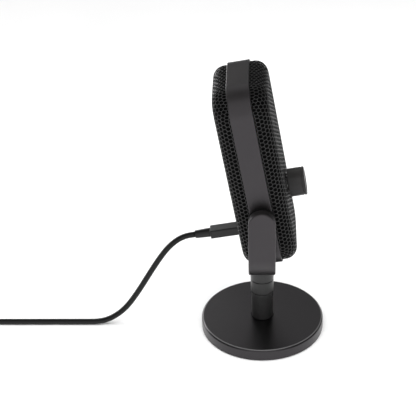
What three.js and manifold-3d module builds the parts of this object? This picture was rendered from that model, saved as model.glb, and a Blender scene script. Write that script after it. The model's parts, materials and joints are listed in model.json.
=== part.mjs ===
// A desktop microphone on a weighted round base. A pole, a lock collar and a swivel yoke carry
// a flat rectangular body that tilts between the yoke's arms. Two mesh shells close the body on
// a middle band, a gain knob sits on the front, and a USB lead leaves the back.
// Millimetres, +Z up, the knob towards -Y and the lead towards +Y. The origin is the middle of
// the base's underside.
import * as THREE from "three";
import { mergeVertices } from "three/addons/utils/BufferGeometryUtils.js";
import Module from "manifold-3d";

const wasm = await Module();
wasm.setup();

// Clearances
const SEAT = 0.3; // between faces that rest on each other
const FIT = 0.3; // around a shaft, screw or plug in its hole
const SWING_CLEAR = 1.3; // between the tilting body and the crossbar
const EDGE_CLEAR = 1; // between the chassis and the band around it
const KNOB_CLEAR = 0.6; // left between a pushed knob and the mesh

// Base
const BASE_R = 55;
const BASE_TOP = 10.9;
const BASE_FILLET = 1.5;
const RIM_LIFT = 0.7;
const PAD_H = 1.5;
const PAD_INSET = 2.5;
const BOLT_R = 2.9;
const BOLT_HEAD_R = 5.2;
const BOLT_HEAD_H = 3.4;
const BOLT_GRIP = 9;

// Pole, stud, lock collar and yoke socket
const STUD_R = 7.94;
const POLE_WALL = 1.46; // around the stud's hole
const POLE_R = STUD_R + FIT + POLE_WALL;
const POLE_LEN = 26.4;
const STUD_GRIP = 9;
const COLLAR_WALL = 2.06;
const COLLAR_R = STUD_R + FIT + COLLAR_WALL;
const COLLAR_H = 13.1;
const SOCKET_WALL = 2.16;
const SOCKET_R = STUD_R + FIT + SOCKET_WALL;
const SOCKET_H = 25.4;
const SOCKET_GRIP = 11;
const SOCKET_SCREW_R = 2.4;
const SOCKET_SCREW_HEAD_R = 4.6;
const SOCKET_SCREW_HEAD_H = 2.2;
const SOCKET_SCREW_GRIP = 8;
const EASED = 0.5; // small chamfer on turned edges
const OVERCUT = 1; // how far a cutting shape runs past the face it opens

// Yoke
const ARM_W = 23;
const ARM_T = 8;
const BAR_T = 4.5;
const YOKE_CORNER = 28;
const YOKE_INNER_CORNER = 22;
const YOKE_EDGE = 1.4;
const WASHER_T = 3;
const WASHER_INSET = 0.2; // how far its rim stays inside the arm's round end
const WASHER_R = ARM_W / 2 - WASHER_INSET;
const PIVOT_R = 4;
const PIVOT_GRIP = 4.5;
const PIVOT_HEAD_R = 5.5;
const PIVOT_HEAD_H = 2.8;
const BUSH_WALL = 1.7;
const BUSH_FLANGE_R = 8;
const BUSH_FLANGE_T = 1.8;

// Body
const LEAN_DEG = 9.62; // how far the body's top leans back at rest
const BODY_W = 79.2;
const BODY_L = 168;
const PIVOT_RISE = 53.5; // the pivot's height above the body's lower end
const PIVOT_DROP = BODY_L / 2 - PIVOT_RISE; // its depth below the body's middle
const BODY_D = 46.4;
const BODY_CORNER = 20.7;
const BODY_FILLET = 10.4;
const MESH_WALL = 1.2;
const FOAM_T = 2.5;
const BAND_WIDTH = 19;
const BAND_T = 3.5;
const BAND_PROUD = 1.8;
const BAND_EDGE = 0.8;

// Chassis and what it carries
const CHASSIS_T = 2;
const LUG_REACH = 9;
const LUG_H = 8;
const LUG_T = 6;
const LUG_INSET = 34; // from the body's ends
const LUG_Z = BODY_L / 2 - LUG_INSET;
const LUG_SKIN = 1; // left closed at the end of a lug's screw hole
const SCREW_SHORT = 0.5; // between a screw's tip and the end of its hole
const CHASSIS_SCREW_R = 1.5;
const CHASSIS_SCREW_HEAD_R = 2.8;
const CHASSIS_SCREW_HEAD_H = 2;
const CAPSULE_INSET = 46; // from the body's upper end
const CAPSULE_Z = BODY_L / 2 - CAPSULE_INSET;
const CAPSULE_R = 17;
const CAPSULE_T = 11;
const CAPSULE_RIM = 2.2;
const CAPSULE_DISH = 0.8;
const CRADLE_WALL = 2.7;
const CRADLE_FLANGE = 3;
const CRADLE_FLANGE_T = 2;
const NOTCH_CLEAR = 0.5; // round the pivot screw's head, past its fit
const BOARD_HALF_W = 22;
const BOARD_HALF_L = 29;
const BOARD_RISE = 43; // above the body's lower end
const BOARD_Z = BOARD_RISE - BODY_L / 2;
const BOARD_CORNER = 2;
const BOARD_T = 1.6;
const BOARD_STANDOFF = 3.7;
const BOARD_SCREW_R = 1.25;
const BOARD_SCREW_HEAD_R = 2.4;
const BOARD_SCREW_HEAD_H = 1.7;
const POST_R = 3;
const POST_INSET = 5;

// USB port and the plug in it
const PORT_RISE = 22.4; // above the body's lower end
const PORT_Z = PORT_RISE - BODY_L / 2;
const PORT_HALF_W = 11;
const PORT_HALF_H = 7;
const PORT_FLANGE = 2;
const PORT_FLANGE_T = 1;
const PORT_CORNER = 2;
const PORT_JOIN = 0.5; // how far the plate runs into its flange
const JACK_HALF_W = 4.1;
const JACK_HALF_H = 1.2;
const JACK_WALL = 0.4;
const JACK_LEN = 8;
const JACK_FLOOR = 0.8;
const JACK_CORNER = 1.2;
const TIP_LEN = 6.8;
const TIP_CORNER = 1;
const PORT_BOARD_HALF_W = 8;
const PORT_BOARD_HALF_H = 6;
const PORT_BOARD_CORNER = 1;
const PLUG_HALF_W = 5.7;
const PLUG_HALF_H = 4;
const PLUG_LEN = 27.4;
const PLUG_CORNER = 1.4;
const PLUG_EDGE = 0.7;
const RELIEF_R = 4;
const RELIEF_LEN = 13.3;
const RELIEF_LIP = 0.6; // how far its thin end stands proud of the lead

// Knob and encoder
const KNOB_RISE = 37.8; // above the port
const KNOB_Z = PORT_Z + KNOB_RISE;
const KNOB_R = 12.25;
const KNOB_LEN = 14.5;
const KNOB_CHAMFER = 1.6;
const KNOB_TRAVEL = 0.8;
const KNOB_RECESS = 4.6;
const SHAFT_R = 3;
const SHAFT_GRIP = 9.5;
const ENCODER_HALF = 6.5;
const ENCODER_T = 6.5;
const ENCODER_FLOOR = 1; // left closed behind the shaft
const BUSHING_R = 4.5;
const BUSHING_PROUD = 3.6;
const NUT_WALL = 1.7;
const NUT_R = BUSHING_R + NUT_WALL;
const NUT_T = 2.4;
const NUT_CLEAR = 1.8; // around the nut in the knob's recess
const KNOB_RECESS_R = NUT_R + NUT_CLEAR;
const PLUNGER_R = 2.5;
const PLUNGER_LEN = 2;

// Lead
const CORD_R = 2.6;
const CORD_SIDES = 10;
const CORD_STEP = 10;
const COIL_TURN_R = 26.5; // at the middle of the turns
const COIL_COLUMNS = 4;
const COIL_LAYERS = 2;
const COIL_Y = 304;
const TIE_T = 0.7;
const TIE_W = 12;
const TIE_SLACK = 0.9;
const TIE_CORNER = 0.7;
const FLOOR_CLEAR = 0.1;
const FAR_RELIEF_LEN = 10;
const FAR_PLUG_HALF_W = 8;
const FAR_PLUG_HALF_H = 4;
const FAR_PLUG_LEN = 22;
const FAR_TIP_HALF_W = 6;
const FAR_TIP_HALF_H = 2.25;
const FAR_TIP_LEN = 18.8;
const FAR_PLUG_CORNER = 2;
const FAR_TIP_CORNER = 0.5;
const CORD_POINTS = [
  [0, 58.7, 97.4],
  [0, 63.8, 96.5],
  [0, 69.0, 94.8],
  [0, 74.5, 91.6],
  [0, 80.3, 86.4],
  [0, 85.7, 80.0],
  [0, 91.5, 71.4],
  [0, 97.3, 61.8],
  [0, 103.2, 51.6],
  [0, 109.1, 41.3],
  [0, 115.0, 31.6],
  [0, 121.1, 22.6],
  [0, 127.0, 15.7],
  [0, 132.9, 10.6],
  [0, 138.6, 6.9],
  [0, 144.4, 4.4],
  [0, 151.5, 3.0],
  [0, 159.0, 2.7],
  [0, 170.0, 2.7],
  [0, 190.0, 2.7],
  [0, 210.0, 2.7],
  [0, 230.0, 2.7],
  [0, 250.0, 2.7],
  [0, 270.0, 2.7],
  [0, 284.0, 2.7],
];
const TAIL_POINTS = [
  [-14.5, 269.7, 8.0],
  [-7.0, 269.7, 8.4],
  [0, 269.7, 8.4],
  [7.0, 269.7, 7.4],
  [14.0, 269.7, 5.5],
  [21.0, 269.7, 4.4],
  [28.0, 269.7, 4.1],
];

// Smoothness
const ROUND_STEPS = 32;
const SMALL_STEPS = 12;
const ARC_STEPS = 3;
const FILLET_STEPS = 4;

// Heights up the stand
const poleBottom = BASE_TOP + SEAT;
const poleTop = poleBottom + POLE_LEN;
const collarBottom = poleTop + SEAT;
const collarTop = collarBottom + COLLAR_H;
const socketBottom = collarTop + SEAT;
const socketTop = socketBottom + SOCKET_H;
const studTop = socketBottom + SOCKET_GRIP;
const yokeBottom = socketTop + SEAT;
const barTop = yokeBottom + BAR_T;

// Widths and depths of the body, from its middle
const bandOuter = BODY_W / 2 + BAND_PROUD;
const bandInner = bandOuter - BAND_T;
const bandHalfL = BODY_L / 2 + BAND_PROUD;
const bandHalfWidth = BAND_WIDTH / 2;
const armInner = bandOuter + SEAT + WASHER_T + SEAT;
const armOuter = armInner + ARM_T;
const face = BODY_D / 2;
const bandSwing = Math.hypot(bandHalfWidth, bandHalfL - PIVOT_DROP);
const filletY = face - BODY_FILLET;
const filletZ = BODY_L / 2 - BODY_FILLET - PIVOT_DROP;
const meshSwing = Math.hypot(filletY, filletZ) + BODY_FILLET;
const pivotZ = barTop + SWING_CLEAR + Math.max(bandSwing, meshSwing);
const padR = BASE_R - PAD_INSET;
const boltTop = BASE_TOP + SEAT + BOLT_GRIP;
const boltHeadTop = PAD_H + 2 * SEAT + BOLT_HEAD_H;

// Depths along the knob's axis, towards -Y from the chassis
const chassisFace = CHASSIS_T / 2;
const postTip = chassisFace + BOARD_STANDOFF;
const boardNear = postTip + SEAT;
const boardFar = boardNear + BOARD_T;
const encoderBack = boardFar + SEAT;
const encoderFace = encoderBack + ENCODER_T;
const bushingTip = face + BUSHING_PROUD;
const shaftBoreEnd = encoderBack + ENCODER_FLOOR;
const plungerBack = shaftBoreEnd + KNOB_TRAVEL + SEAT;
const plungerTip = plungerBack + PLUNGER_LEN;
const knobBack = face + KNOB_CLEAR + KNOB_TRAVEL;
const knobFront = knobBack + KNOB_LEN;
const shaftTip = knobBack + KNOB_RECESS + SHAFT_GRIP - SEAT;

// Depths along the plug's axis, towards +Y from the chassis
const tipEnd = face;
const tipStart = tipEnd - TIP_LEN;
const jackEnd = face - SEAT * 2;
const jackStart = jackEnd - JACK_LEN;
const portBoardFar = jackStart - SEAT;
const portBoardNear = portBoardFar - BOARD_T;
const plugStart = face + SEAT;
const plugEnd = plugStart + PLUG_LEN;
const reliefStart = plugEnd + SEAT;

// ---------------------------------------------------------------- shapes

// A round hole's edge, as four quarter arcs.
function circle(x, z, r) {
  const edge = new THREE.Path();
  for (let i = 0; i < 4; i++) edge.absarc(x, z, r, (i * Math.PI) / 2, ((i + 1) * Math.PI) / 2, false);
  return edge;
}

function roundedRect(halfX, halfZ, r, z = 0) {
  const right = halfX - r;
  const high = halfZ - r;
  return new THREE.Shape()
    .absarc(right, z - high, r, -Math.PI / 2, 0, false)
    .absarc(right, z + high, r, 0, Math.PI / 2, false)
    .absarc(-right, z + high, r, Math.PI / 2, Math.PI, false)
    .absarc(-right, z - high, r, Math.PI, 1.5 * Math.PI, false);
}

// An outline in X and Z made thick from y0 to y1, its edges rounded over by `edge`.
function slab(shape, y0, y1, edge = 0, edgeSteps = 2) {
  const geometry = new THREE.ExtrudeGeometry(shape, {
    depth: y1 - y0 - 2 * edge,
    curveSegments: ARC_STEPS,
    bevelEnabled: edge > 0,
    bevelThickness: edge,
    bevelSize: edge,
    bevelOffset: -edge,
    bevelSegments: edgeSteps,
  });
  return geometry.rotateX(Math.PI / 2).translate(0, y1 - edge, 0);
}

// A profile of [radius, height] points turned about the X, Y or Z axis.
function turned(profile, axis, steps = ROUND_STEPS) {
  const points = profile.map(([r, h]) => new THREE.Vector2(r, h));
  const geometry = new THREE.LatheGeometry(points, steps);
  if (axis === "z") geometry.rotateX(Math.PI / 2);
  if (axis === "x") geometry.rotateZ(-Math.PI / 2);
  return geometry;
}

function rod(r, low, high) {
  return [[0, low], [r, low], [r, high], [0, high]];
}

function ring(inner, outer, low, high, ease = 0) {
  if (!ease) return [[inner, low], [outer, low], [outer, high], [inner, high], [inner, low]];
  return [
    [inner, low], [outer - ease, low], [outer, low + ease],
    [outer, high - ease], [outer - ease, high], [inner, high], [inner, low],
  ];
}

// A screw with its head between head0 and head1 and its shank on to tip.
function screwProfile(headR, shankR, head0, head1, tip) {
  return [[0, head0], [headR, head0], [headR, head1], [shankR, head1], [shankR, tip], [0, tip]];
}

function block(low, high) {
  const size = high.map((value, i) => value - low[i]);
  const middle = high.map((value, i) => (value + low[i]) / 2);
  return new THREE.BoxGeometry(...size).translate(...middle);
}

function solid(geometry) {
  const bare = geometry.clone();
  bare.deleteAttribute("normal");
  bare.deleteAttribute("uv");
  const merged = mergeVertices(bare, 1e-4);
  const vertProperties = new Float32Array(merged.attributes.position.array);
  const triVerts = new Uint32Array(merged.index.array);
  return new wasm.Manifold(new wasm.Mesh({ numProp: 3, vertProperties, triVerts }));
}

function geometryOf(manifold) {
  const mesh = manifold.getMesh();
  const geometry = new THREE.BufferGeometry();
  geometry.setAttribute("position", new THREE.BufferAttribute(mesh.vertProperties, 3));
  geometry.setIndex(new THREE.BufferAttribute(mesh.triVerts, 1));
  geometry.computeVertexNormals();
  return geometry;
}

function join(first, ...others) {
  return geometryOf(others.reduce((sum, next) => sum.add(solid(next)), solid(first)));
}

function cut(first, ...tools) {
  return geometryOf(tools.reduce((left, tool) => left.subtract(solid(tool)), solid(first)));
}

function finish(color, roughness, metalness) {
  return new THREE.MeshStandardMaterial({ color, roughness, metalness });
}

const blackCoat = finish(0x2e2d2f, 0.42, 0.3);
const greyCoat = finish(0x474547, 0.4, 0.4);
const meshSteel = finish(0x3c3e3c, 0.45, 0.6);
const bareSteel = finish(0xa8a9ab, 0.3, 0.9);
const brass = finish(0xb5974f, 0.35, 0.9);
const blackRubber = finish(0x232324, 0.8, 0);
const blackFoam = finish(0x151515, 1, 0);
const blackPlastic = finish(0x2a2a2b, 0.55, 0);
const greenBoard = finish(0x1d4a31, 0.5, 0.1);

function piece(parent, name, material, geometry) {
  const mesh = new THREE.Mesh(geometry, material.clone());
  mesh.name = name;
  parent.add(mesh);
  return mesh;
}

// ---------------------------------------------------------------- stand

function baseDisc() {
  const profile = [
    [BOLT_HEAD_R + FIT, PAD_H + SEAT],
    [padR + FIT, PAD_H + SEAT],
    [padR + FIT, RIM_LIFT],
    [BASE_R - EASED, RIM_LIFT],
    [BASE_R, RIM_LIFT + EASED],
  ];
  for (let i = 0; i <= FILLET_STEPS; i++) {
    const angle = (i / FILLET_STEPS) * (Math.PI / 2);
    profile.push([
      BASE_R - BASE_FILLET * (1 - Math.cos(angle)),
      BASE_TOP - BASE_FILLET * (1 - Math.sin(angle)),
    ]);
  }
  profile.push(
    [BOLT_R + FIT, BASE_TOP],
    [BOLT_R + FIT, boltHeadTop + SEAT],
    [BOLT_HEAD_R + FIT, boltHeadTop + SEAT],
    [BOLT_HEAD_R + FIT, PAD_H + SEAT],
  );
  return turned(profile, "z");
}

function polePiece() {
  const studFloor = poleTop - STUD_GRIP;
  const boltBore = BOLT_R + FIT;
  const studBore = STUD_R + FIT;
  const body = turned([
    [0, poleBottom], [POLE_R - EASED, poleBottom], [POLE_R, poleBottom + EASED],
    [POLE_R, poleTop - EASED], [POLE_R - EASED, poleTop], [studBore, poleTop],
    [studBore, studFloor], [0, studFloor],
  ], "z");
  return cut(body, turned(rod(boltBore, poleBottom - OVERCUT, boltTop + SEAT), "z", SMALL_STEPS));
}

function addStand(parent) {
  piece(parent, "base_disc", blackCoat, baseDisc());
  piece(parent, "base_pad", blackRubber, turned(rod(padR, 0, PAD_H), "z"));
  const head0 = PAD_H + 2 * SEAT;
  const boltShape = screwProfile(BOLT_HEAD_R, BOLT_R, head0, boltHeadTop, boltTop);
  piece(parent, "base_bolt", bareSteel, turned(boltShape, "z", SMALL_STEPS));
  piece(parent, "stand_pole", blackCoat, polePiece());
  const stud = rod(STUD_R, poleTop - STUD_GRIP + SEAT, studTop);
  piece(parent, "threaded_stud", bareSteel, turned(stud, "z", ROUND_STEPS / 2));
  const collar = ring(STUD_R + FIT, COLLAR_R, collarBottom, collarTop, EASED);
  piece(parent, "lock_collar", blackCoat, turned(collar, "z"));
}

// ---------------------------------------------------------------- yoke

function socketPiece() {
  const stud = STUD_R + FIT;
  const screwHole = SOCKET_SCREW_R + FIT;
  const screwEnd = socketTop - SOCKET_SCREW_GRIP - SEAT;
  return turned([
    [0, studTop + SEAT], [stud, studTop + SEAT], [stud, socketBottom],
    [SOCKET_R - EASED, socketBottom], [SOCKET_R, socketBottom + EASED],
    [SOCKET_R, socketTop - EASED], [SOCKET_R - EASED, socketTop],
    [screwHole, socketTop], [screwHole, screwEnd], [0, screwEnd],
  ], "z");
}

function yokeOutline() {
  const top = pivotZ + ARM_W / 2;
  const outer = armOuter - YOKE_CORNER;
  const inner = armInner - YOKE_INNER_CORNER;
  const outerZ = yokeBottom + YOKE_CORNER;
  const innerZ = barTop + YOKE_INNER_CORNER;
  return new THREE.Shape()
    .moveTo(-armInner, top)
    .lineTo(-armOuter, top)
    .absarc(-outer, outerZ, YOKE_CORNER, Math.PI, 1.5 * Math.PI, false)
    .absarc(outer, outerZ, YOKE_CORNER, 1.5 * Math.PI, 2 * Math.PI, false)
    .lineTo(armOuter, top)
    .lineTo(armInner, top)
    .absarc(inner, innerZ, YOKE_INNER_CORNER, 0, -Math.PI / 2, true)
    .absarc(-inner, innerZ, YOKE_INNER_CORNER, -Math.PI / 2, -Math.PI, true);
}

// The arms seen from the side: straight edges and a full round about the pivot, drawn in
// Y and Z and turned so that its thickness runs along X.
function armSide() {
  const half = ARM_W / 2;
  const outline = new THREE.Shape()
    .moveTo(-half, yokeBottom - ARM_W)
    .lineTo(half, yokeBottom - ARM_W)
    .absarc(0, pivotZ, half, 0, Math.PI, false);
  return slab(outline, -armOuter, armOuter, YOKE_EDGE).rotateZ(Math.PI / 2);
}

function yokePiece() {
  const fork = solid(slab(yokeOutline(), -ARM_W / 2, ARM_W / 2, YOKE_EDGE));
  const shaped = fork.intersect(solid(armSide()));
  const headHole = rod(SOCKET_SCREW_HEAD_R + FIT, barTop - SOCKET_SCREW_HEAD_H - SEAT, barTop + OVERCUT);
  const screwHole = rod(SOCKET_SCREW_R + FIT, yokeBottom - OVERCUT, barTop);
  const pinHole = rod(PIVOT_R + FIT, -armInner - PIVOT_GRIP - SEAT, armInner + PIVOT_GRIP + SEAT);
  const tools = [
    turned(headHole, "z", SMALL_STEPS),
    turned(screwHole, "z", SMALL_STEPS),
    turned(pinHole, "x", SMALL_STEPS).translate(0, 0, pivotZ),
  ];
  return geometryOf(tools.reduce((left, tool) => left.subtract(solid(tool)), shaped));
}

function addYoke(parent) {
  piece(parent, "yoke_socket", blackCoat, socketPiece());
  piece(parent, "yoke", greyCoat, yokePiece());
  const headTop = barTop - SEAT / 2;
  const screwShape = screwProfile(
    SOCKET_SCREW_HEAD_R, SOCKET_SCREW_R,
    -headTop, SOCKET_SCREW_HEAD_H - headTop, SOCKET_SCREW_GRIP - socketTop,
  );
  const screw = turned(screwShape, "z", SMALL_STEPS).rotateX(Math.PI);
  piece(parent, "yoke_screw", bareSteel, screw);
  for (const [side, turn] of [["right", 0], ["left", Math.PI]]) {
    const place = (shape, steps) => turned(shape, "x", steps).rotateZ(turn).translate(0, 0, pivotZ);
    const washer = ring(PIVOT_R + FIT, WASHER_R, bandOuter + SEAT, armInner - SEAT);
    piece(parent, `tilt_washer_${side}`, blackRubber, place(washer, ROUND_STEPS / 2));
    const headEnd = bandInner - SEAT - BUSH_FLANGE_T - SEAT;
    const pin = screwProfile(
      PIVOT_HEAD_R, PIVOT_R, headEnd - PIVOT_HEAD_H, headEnd, armInner + PIVOT_GRIP,
    );
    piece(parent, `pivot_screw_${side}`, bareSteel, place(pin, SMALL_STEPS));
  }
}

// ---------------------------------------------------------------- body shells

// The body's filleted outer form, drawn in by `inset` all round.
function pillow(inset) {
  const outline = roundedRect(BODY_W / 2 - inset, BODY_L / 2 - inset, BODY_CORNER - inset);
  return slab(outline, inset - face, face - inset, BODY_FILLET - inset, FILLET_STEPS);
}

// One half of the form as a shell, in front of the band or behind it.
function halfShell(side, inset, wall, ...holes) {
  const near = bandHalfWidth + SEAT;
  const reach = [BODY_W, BODY_L];
  const keep = side < 0
    ? block([-reach[0], -BODY_D, -reach[1]], [reach[0], -near, reach[1]])
    : block([-reach[0], near, -reach[1]], [reach[0], BODY_D, reach[1]]);
  const shell = solid(pillow(inset)).subtract(solid(pillow(inset + wall)));
  const half = shell.intersect(solid(keep));
  return geometryOf(holes.reduce((left, hole) => left.subtract(solid(hole)), half));
}

function addShells(parent) {
  const bushingHole = turned(rod(BUSHING_R + FIT, -BODY_D, 0), "y", SMALL_STEPS);
  bushingHole.translate(0, 0, KNOB_Z);
  const portOutline = roundedRect(PORT_HALF_W + FIT, PORT_HALF_H + FIT, PORT_CORNER, PORT_Z);
  const portHole = slab(portOutline, 0, BODY_D);
  const flangeX = PORT_HALF_W + PORT_FLANGE + FIT;
  const flangeZ = PORT_HALF_H + PORT_FLANGE + FIT;
  const flangeHole = slab(roundedRect(flangeX, flangeZ, PORT_CORNER, PORT_Z), 0, BODY_D);
  const foamInset = MESH_WALL + SEAT;
  piece(parent, "front_grille", meshSteel, halfShell(-1, 0, MESH_WALL, bushingHole));
  piece(parent, "rear_grille", meshSteel, halfShell(1, 0, MESH_WALL, portHole));
  piece(parent, "front_foam", blackFoam, halfShell(-1, foamInset, FOAM_T, bushingHole));
  piece(parent, "rear_foam", blackFoam, halfShell(1, foamInset, FOAM_T, flangeHole));
}

function lugPlaces() {
  const x = bandInner - LUG_REACH / 2;
  return [[-x, LUG_Z], [x, LUG_Z], [-x, -LUG_Z], [x, -LUG_Z]];
}

function bandPiece() {
  const outline = roundedRect(bandOuter, bandHalfL, BODY_CORNER + BAND_PROUD);
  const innerR = BODY_CORNER + BAND_PROUD - BAND_T;
  outline.holes.push(roundedRect(bandInner, bandHalfL - BAND_T, innerR));
  let band = solid(slab(outline, -bandHalfWidth, bandHalfWidth, BAND_EDGE));
  const near = chassisFace + SEAT;
  const screwHole = rod(CHASSIS_SCREW_R + FIT, 0, near + LUG_T - LUG_SKIN);
  for (const [x, z] of lugPlaces()) {
    const out = Math.sign(x) * (bandInner + BAND_T / 2);
    const back = Math.sign(x) * (bandInner - LUG_REACH);
    const low = [Math.min(out, back), near, z - LUG_H / 2];
    const high = [Math.max(out, back), near + LUG_T, z + LUG_H / 2];
    const hole = turned(screwHole, "y", SMALL_STEPS).translate(x, 0, z);
    band = band.add(solid(block(low, high))).subtract(solid(hole));
  }
  const bushHole = rod(PIVOT_R + FIT + BUSH_WALL + FIT, -bandOuter - OVERCUT, bandOuter + OVERCUT);
  const through = turned(bushHole, "x", SMALL_STEPS).translate(0, 0, -PIVOT_DROP);
  return geometryOf(band.subtract(solid(through)));
}

// ---------------------------------------------------------------- inside the body

function postPlaces() {
  const x = BOARD_HALF_W - POST_INSET;
  const z = BOARD_HALF_L - POST_INSET;
  return [[-x, BOARD_Z + z], [x, BOARD_Z + z], [-x, BOARD_Z - z], [x, BOARD_Z - z]];
}

function chassisPiece() {
  const halfX = bandInner - EDGE_CLEAR;
  const outline = roundedRect(halfX, bandHalfL - BAND_T - EDGE_CLEAR, BODY_CORNER - BAND_T);
  outline.holes.push(circle(0, CAPSULE_Z, CAPSULE_R + FIT + CRADLE_WALL + FIT));
  for (const [x, z] of lugPlaces()) outline.holes.push(circle(x, z, CHASSIS_SCREW_R + FIT));
  let plate = solid(slab(outline, -chassisFace, chassisFace));
  for (const [x, z] of postPlaces()) {
    const post = turned(rod(POST_R, -postTip, 0), "y", SMALL_STEPS).translate(x, 0, z);
    const bore = turned(rod(BOARD_SCREW_R + FIT, -postTip - OVERCUT, -chassisFace), "y", SMALL_STEPS);
    plate = plate.add(solid(post)).subtract(solid(bore.translate(x, 0, z)));
  }
  for (const x of [-PORT_BOARD_HALF_W / 2, PORT_BOARD_HALF_W / 2]) {
    const post = turned(rod(POST_R, 0, portBoardNear - SEAT), "y", SMALL_STEPS);
    plate = plate.add(solid(post.translate(x, 0, PORT_Z)));
  }
  const clearR = Math.max(BUSH_FLANGE_R, PIVOT_HEAD_R) + FIT + NOTCH_CLEAR;
  const headStart = bandInner - SEAT - BUSH_FLANGE_T - SEAT - PIVOT_HEAD_H;
  const notchX = headStart - FIT - NOTCH_CLEAR;
  for (const [near, far] of [[notchX, BODY_W], [-BODY_W, -notchX]]) {
    const notch = block([near, -BODY_D, -PIVOT_DROP - clearR], [far, BODY_D, -PIVOT_DROP + clearR]);
    plate = plate.subtract(solid(notch));
  }
  return geometryOf(plate);
}

function addFrame(parent) {
  piece(parent, "frame_band", greyCoat, bandPiece());
  piece(parent, "chassis", bareSteel, chassisPiece());
  const headEnd = -chassisFace - SEAT;
  const shape = screwProfile(
    CHASSIS_SCREW_HEAD_R, CHASSIS_SCREW_R,
    headEnd - CHASSIS_SCREW_HEAD_H, headEnd, chassisFace + LUG_T - LUG_SKIN - SCREW_SHORT,
  );
  lugPlaces().forEach(([x, z], i) => {
    const screw = turned(shape, "y", SMALL_STEPS).translate(x, 0, z);
    piece(parent, `chassis_screw_${i + 1}`, bareSteel, screw);
  });
  const bore = PIVOT_R + FIT;
  const flange0 = bandInner - SEAT - BUSH_FLANGE_T;
  const bush = [
    [bore, flange0], [BUSH_FLANGE_R, flange0], [BUSH_FLANGE_R, flange0 + BUSH_FLANGE_T],
    [bore + BUSH_WALL, flange0 + BUSH_FLANGE_T], [bore + BUSH_WALL, bandOuter],
    [bore, bandOuter], [bore, flange0],
  ];
  for (const [side, turn] of [["right", 0], ["left", Math.PI]]) {
    const shapeX = turned(bush, "x", SMALL_STEPS).rotateZ(turn).translate(0, 0, -PIVOT_DROP);
    piece(parent, `pivot_bush_${side}`, brass, shapeX);
  }
}

function addCapsule(parent) {
  const cradleR = CAPSULE_R + FIT + CRADLE_WALL;
  const bore = CAPSULE_R + FIT;
  const half = CAPSULE_T / 2;
  const seatY = -chassisFace - SEAT;
  const flangeY = seatY - CRADLE_FLANGE_T;
  const cradle = [
    [bore, -half], [cradleR, -half], [cradleR, flangeY], [cradleR + CRADLE_FLANGE, flangeY],
    [cradleR + CRADLE_FLANGE, seatY], [cradleR, seatY], [cradleR, half], [bore, half],
    [bore, -half],
  ];
  const dishR = CAPSULE_R - CAPSULE_RIM;
  const capsule = [
    [0, CAPSULE_DISH - half], [dishR, CAPSULE_DISH - half], [dishR, -half],
    [CAPSULE_R, -half], [CAPSULE_R, half], [0, half],
  ];
  const place = (shape) => turned(shape, "y", ROUND_STEPS / 2).translate(0, 0, CAPSULE_Z);
  piece(parent, "capsule_cradle", blackPlastic, place(cradle));
  piece(parent, "capsule", brass, place(capsule));
}

function addBoard(parent) {
  const outline = roundedRect(BOARD_HALF_W, BOARD_HALF_L, BOARD_CORNER, BOARD_Z);
  for (const [x, z] of postPlaces()) outline.holes.push(circle(x, z, BOARD_SCREW_R + FIT));
  piece(parent, "main_board", greenBoard, slab(outline, -boardFar, -boardNear));
  const headEnd = -boardFar - SEAT;
  const shape = screwProfile(
    BOARD_SCREW_HEAD_R, BOARD_SCREW_R,
    headEnd - BOARD_SCREW_HEAD_H, headEnd, -chassisFace - FIT,
  );
  postPlaces().forEach(([x, z], i) => {
    const screw = turned(shape, "y", SMALL_STEPS).translate(x, 0, z);
    piece(parent, `board_screw_${i + 1}`, bareSteel, screw);
  });
}

// ---------------------------------------------------------------- knob

function encoderPiece() {
  const box = block(
    [-ENCODER_HALF, -encoderFace, KNOB_Z - ENCODER_HALF],
    [ENCODER_HALF, -encoderBack, KNOB_Z + ENCODER_HALF],
  );
  const bushing = turned(rod(BUSHING_R, -bushingTip, -encoderBack - ENCODER_FLOOR), "y", SMALL_STEPS);
  const bore = turned(rod(SHAFT_R + FIT, -bushingTip - OVERCUT, -shaftBoreEnd), "y", SMALL_STEPS);
  const body = join(box, bushing.translate(0, 0, KNOB_Z));
  return cut(body, bore.translate(0, 0, KNOB_Z));
}

function knobPiece() {
  const recess = knobBack + KNOB_RECESS;
  const bore = SHAFT_R + FIT;
  return turned([
    [0, -knobFront], [KNOB_R - KNOB_CHAMFER, -knobFront], [KNOB_R, KNOB_CHAMFER - knobFront],
    [KNOB_R, -knobBack], [KNOB_RECESS_R, -knobBack], [KNOB_RECESS_R, -recess], [bore, -recess],
    [bore, -shaftTip - SEAT], [0, -shaftTip - SEAT],
  ], "y").translate(0, 0, KNOB_Z);
}

function addKnob(parent) {
  piece(parent, "gain_encoder", bareSteel, encoderPiece());
  const nutFace = -face - SEAT;
  const hexagon = turned(rod(NUT_R, nutFace - NUT_T, nutFace), "y", 6);
  const thread = turned(rod(BUSHING_R + FIT, nutFace - NUT_T - OVERCUT, nutFace + OVERCUT), "y", SMALL_STEPS);
  piece(parent, "encoder_nut", blackCoat, cut(hexagon, thread).translate(0, 0, KNOB_Z));
  const plunger = turned(rod(PLUNGER_R, -plungerTip, -plungerBack), "y", SMALL_STEPS);
  piece(parent, "switch_plunger", blackPlastic, plunger.translate(0, 0, KNOB_Z));
  const shaft = turned(rod(SHAFT_R, -shaftTip, -plungerTip - SEAT), "y", SMALL_STEPS);
  piece(parent, "knob_shaft", bareSteel, shaft.translate(0, 0, KNOB_Z));
  piece(parent, "gain_knob", greyCoat, knobPiece());
}

// ---------------------------------------------------------------- USB port and lead

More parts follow.
